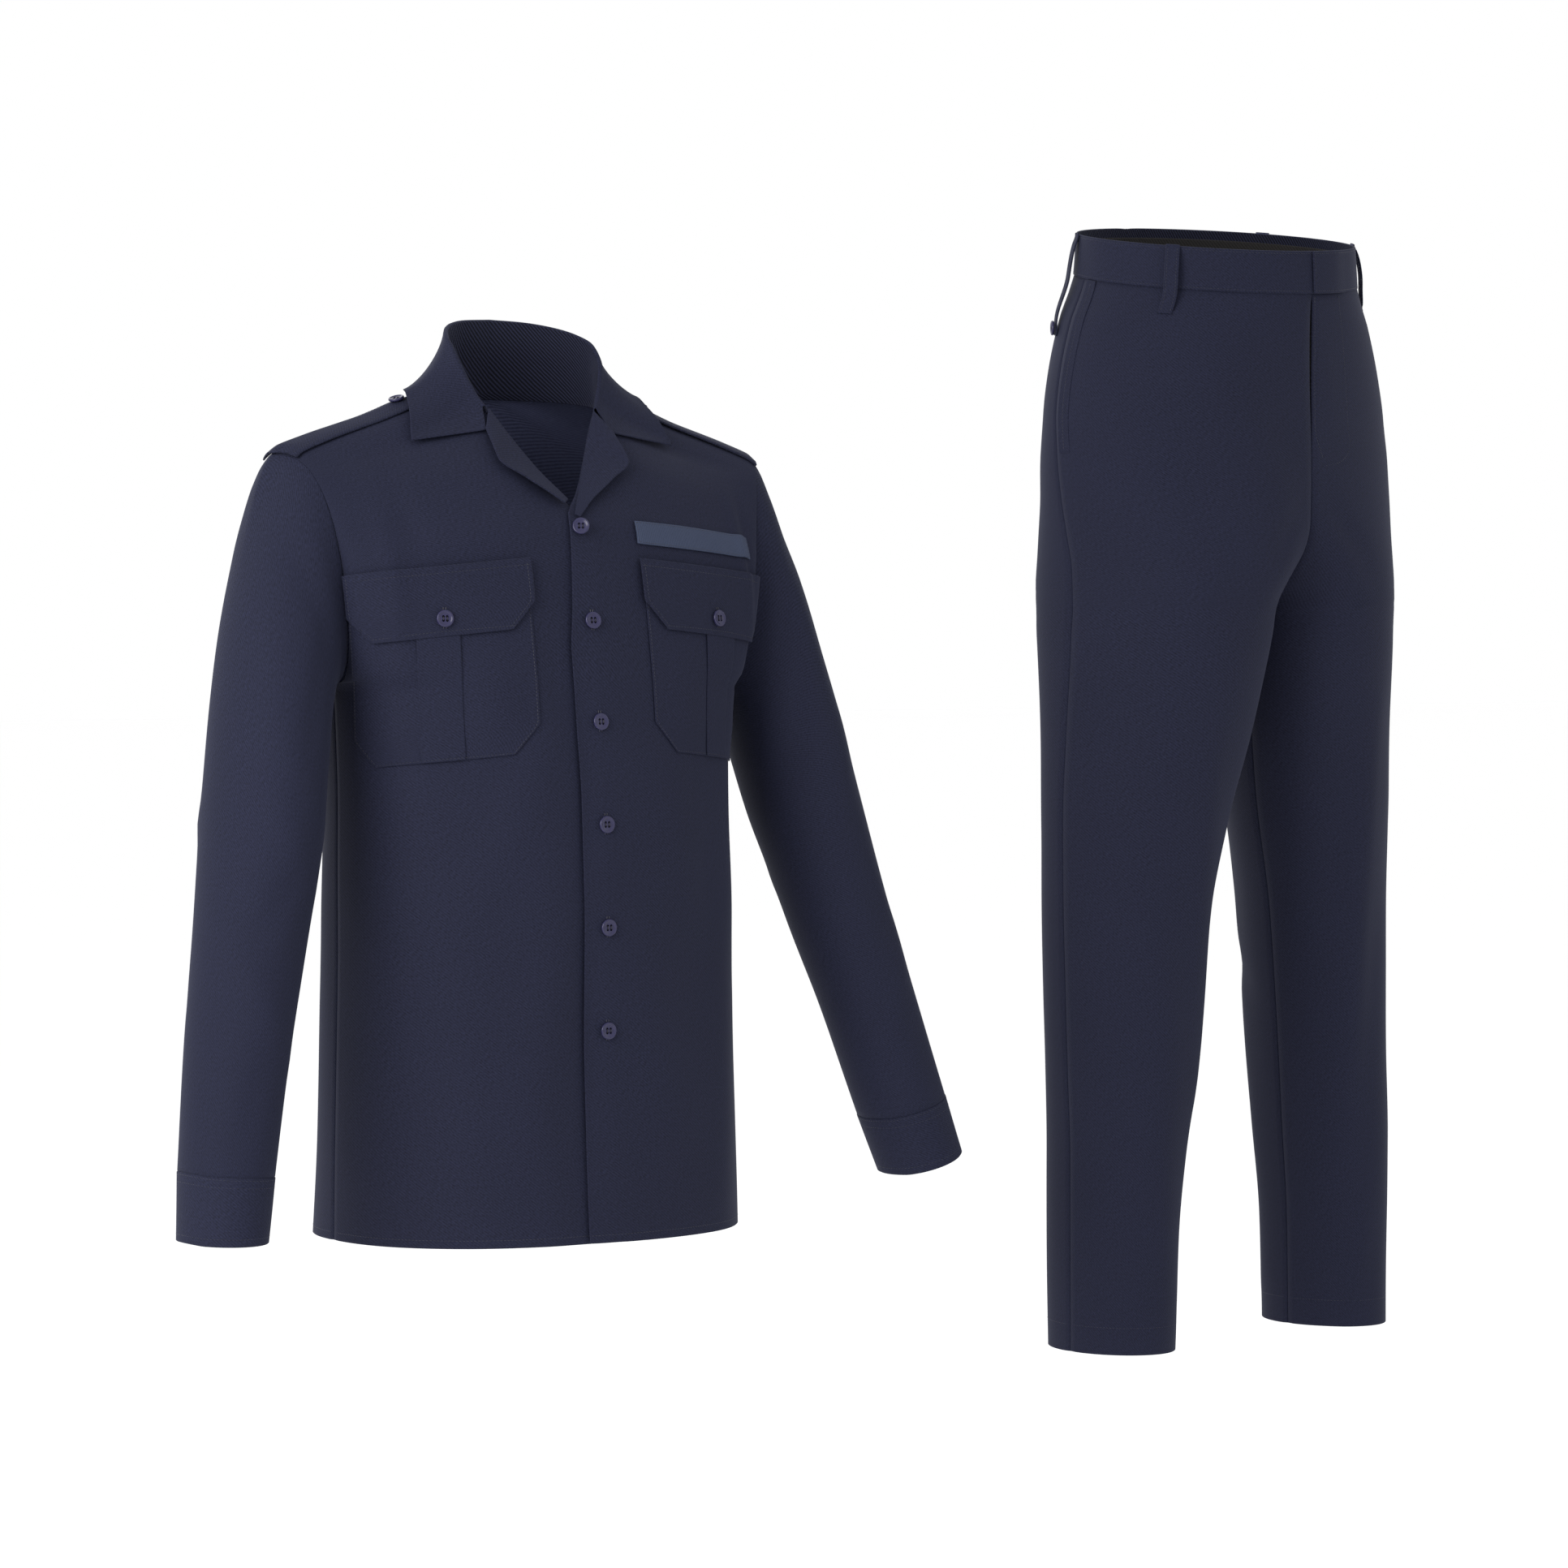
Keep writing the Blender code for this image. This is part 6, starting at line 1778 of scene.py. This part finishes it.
# Columns: name, colour, pitch, relief, contrast, angle of the ribs, sheen, and the ribs' share of the relief
CLOTHS = (
    ("navy_twill", NAVY, 0.0020, 0.00024, 0.50, -52.0, 0.05, 0.15),
    # The inside row is the navy painted lighter, as painted light
    ("navy_twill_inside_painted_light", INSIDE_NAVY_PAINTED_LIGHT, 0.0026, 0.00022, 0.38, -60.0, 0.05, 0.45),
    # The stand row is the navy painted darker, as painted shade
    ("navy_twill_stand_painted_shade", STAND_NAVY_PAINTED_SHADE, 0.0025, 0.00070, 0.90, 32.0, 0.05, 0.80),
    ("dark_lining", LINING, 0.0026, 0.00040, 0.35, 40.0, 0.03, 0.55),
    ("name_tape", TAPE, 0.0014, 0.00035, 0.30, 0.0, 0.05, 0.55),
)


def main():
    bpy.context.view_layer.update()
    cloth, inside, stand, lining, tape = (twill(*row) for row in CLOTHS)
    thread = plain_material("thread", THREAD, 0.6)
    plastic = plain_material("button_plastic", PLASTIC, 0.28)
    shader_of(plastic).inputs["Specular IOR Level"].default_value = 0.30
    shader_of(plastic).inputs["Coat Weight"].default_value = 0.06
    shader_of(plastic).inputs["Coat Roughness"].default_value = 0.15
    # The inner material is the inside navy with painted light on it
    two_sided = [cloth, inside]

    shirt_panels(two_sided)
    cuffs(two_sided)
    collar(cloth, stand)
    lapels(two_sided)
    chest = Chest()
    flap_top = pocket_parts(chest, two_sided)
    name_strip(chest, tape)
    strap = straps(two_sided)
    hole_thread = plain_material("button_thread", HOLE_THREAD, 0.7)
    large = (four_hole_button("button", BUTTON_RADIUS, plastic), button_thread("button_thread", hole_thread))
    small = (four_hole_button("small_button", SMALL_BUTTON_RADIUS, plastic), large[1])
    shirt_buttons(chest, flap_top, strap, large, small)
    legs([cloth])
    # The waistband's inner side takes the stand material, painted darker as painted shade
    waistbands([cloth, stand])
    waist_curtain(lining)
    fly_underlap(lining)
    loops(two_sided, small)
    for garment in ("shirt", "trousers"):
        add_stitches(garment + "_stitches", STITCH_RUNS[garment], thread)
    add_camera()
    add_studio()


main()
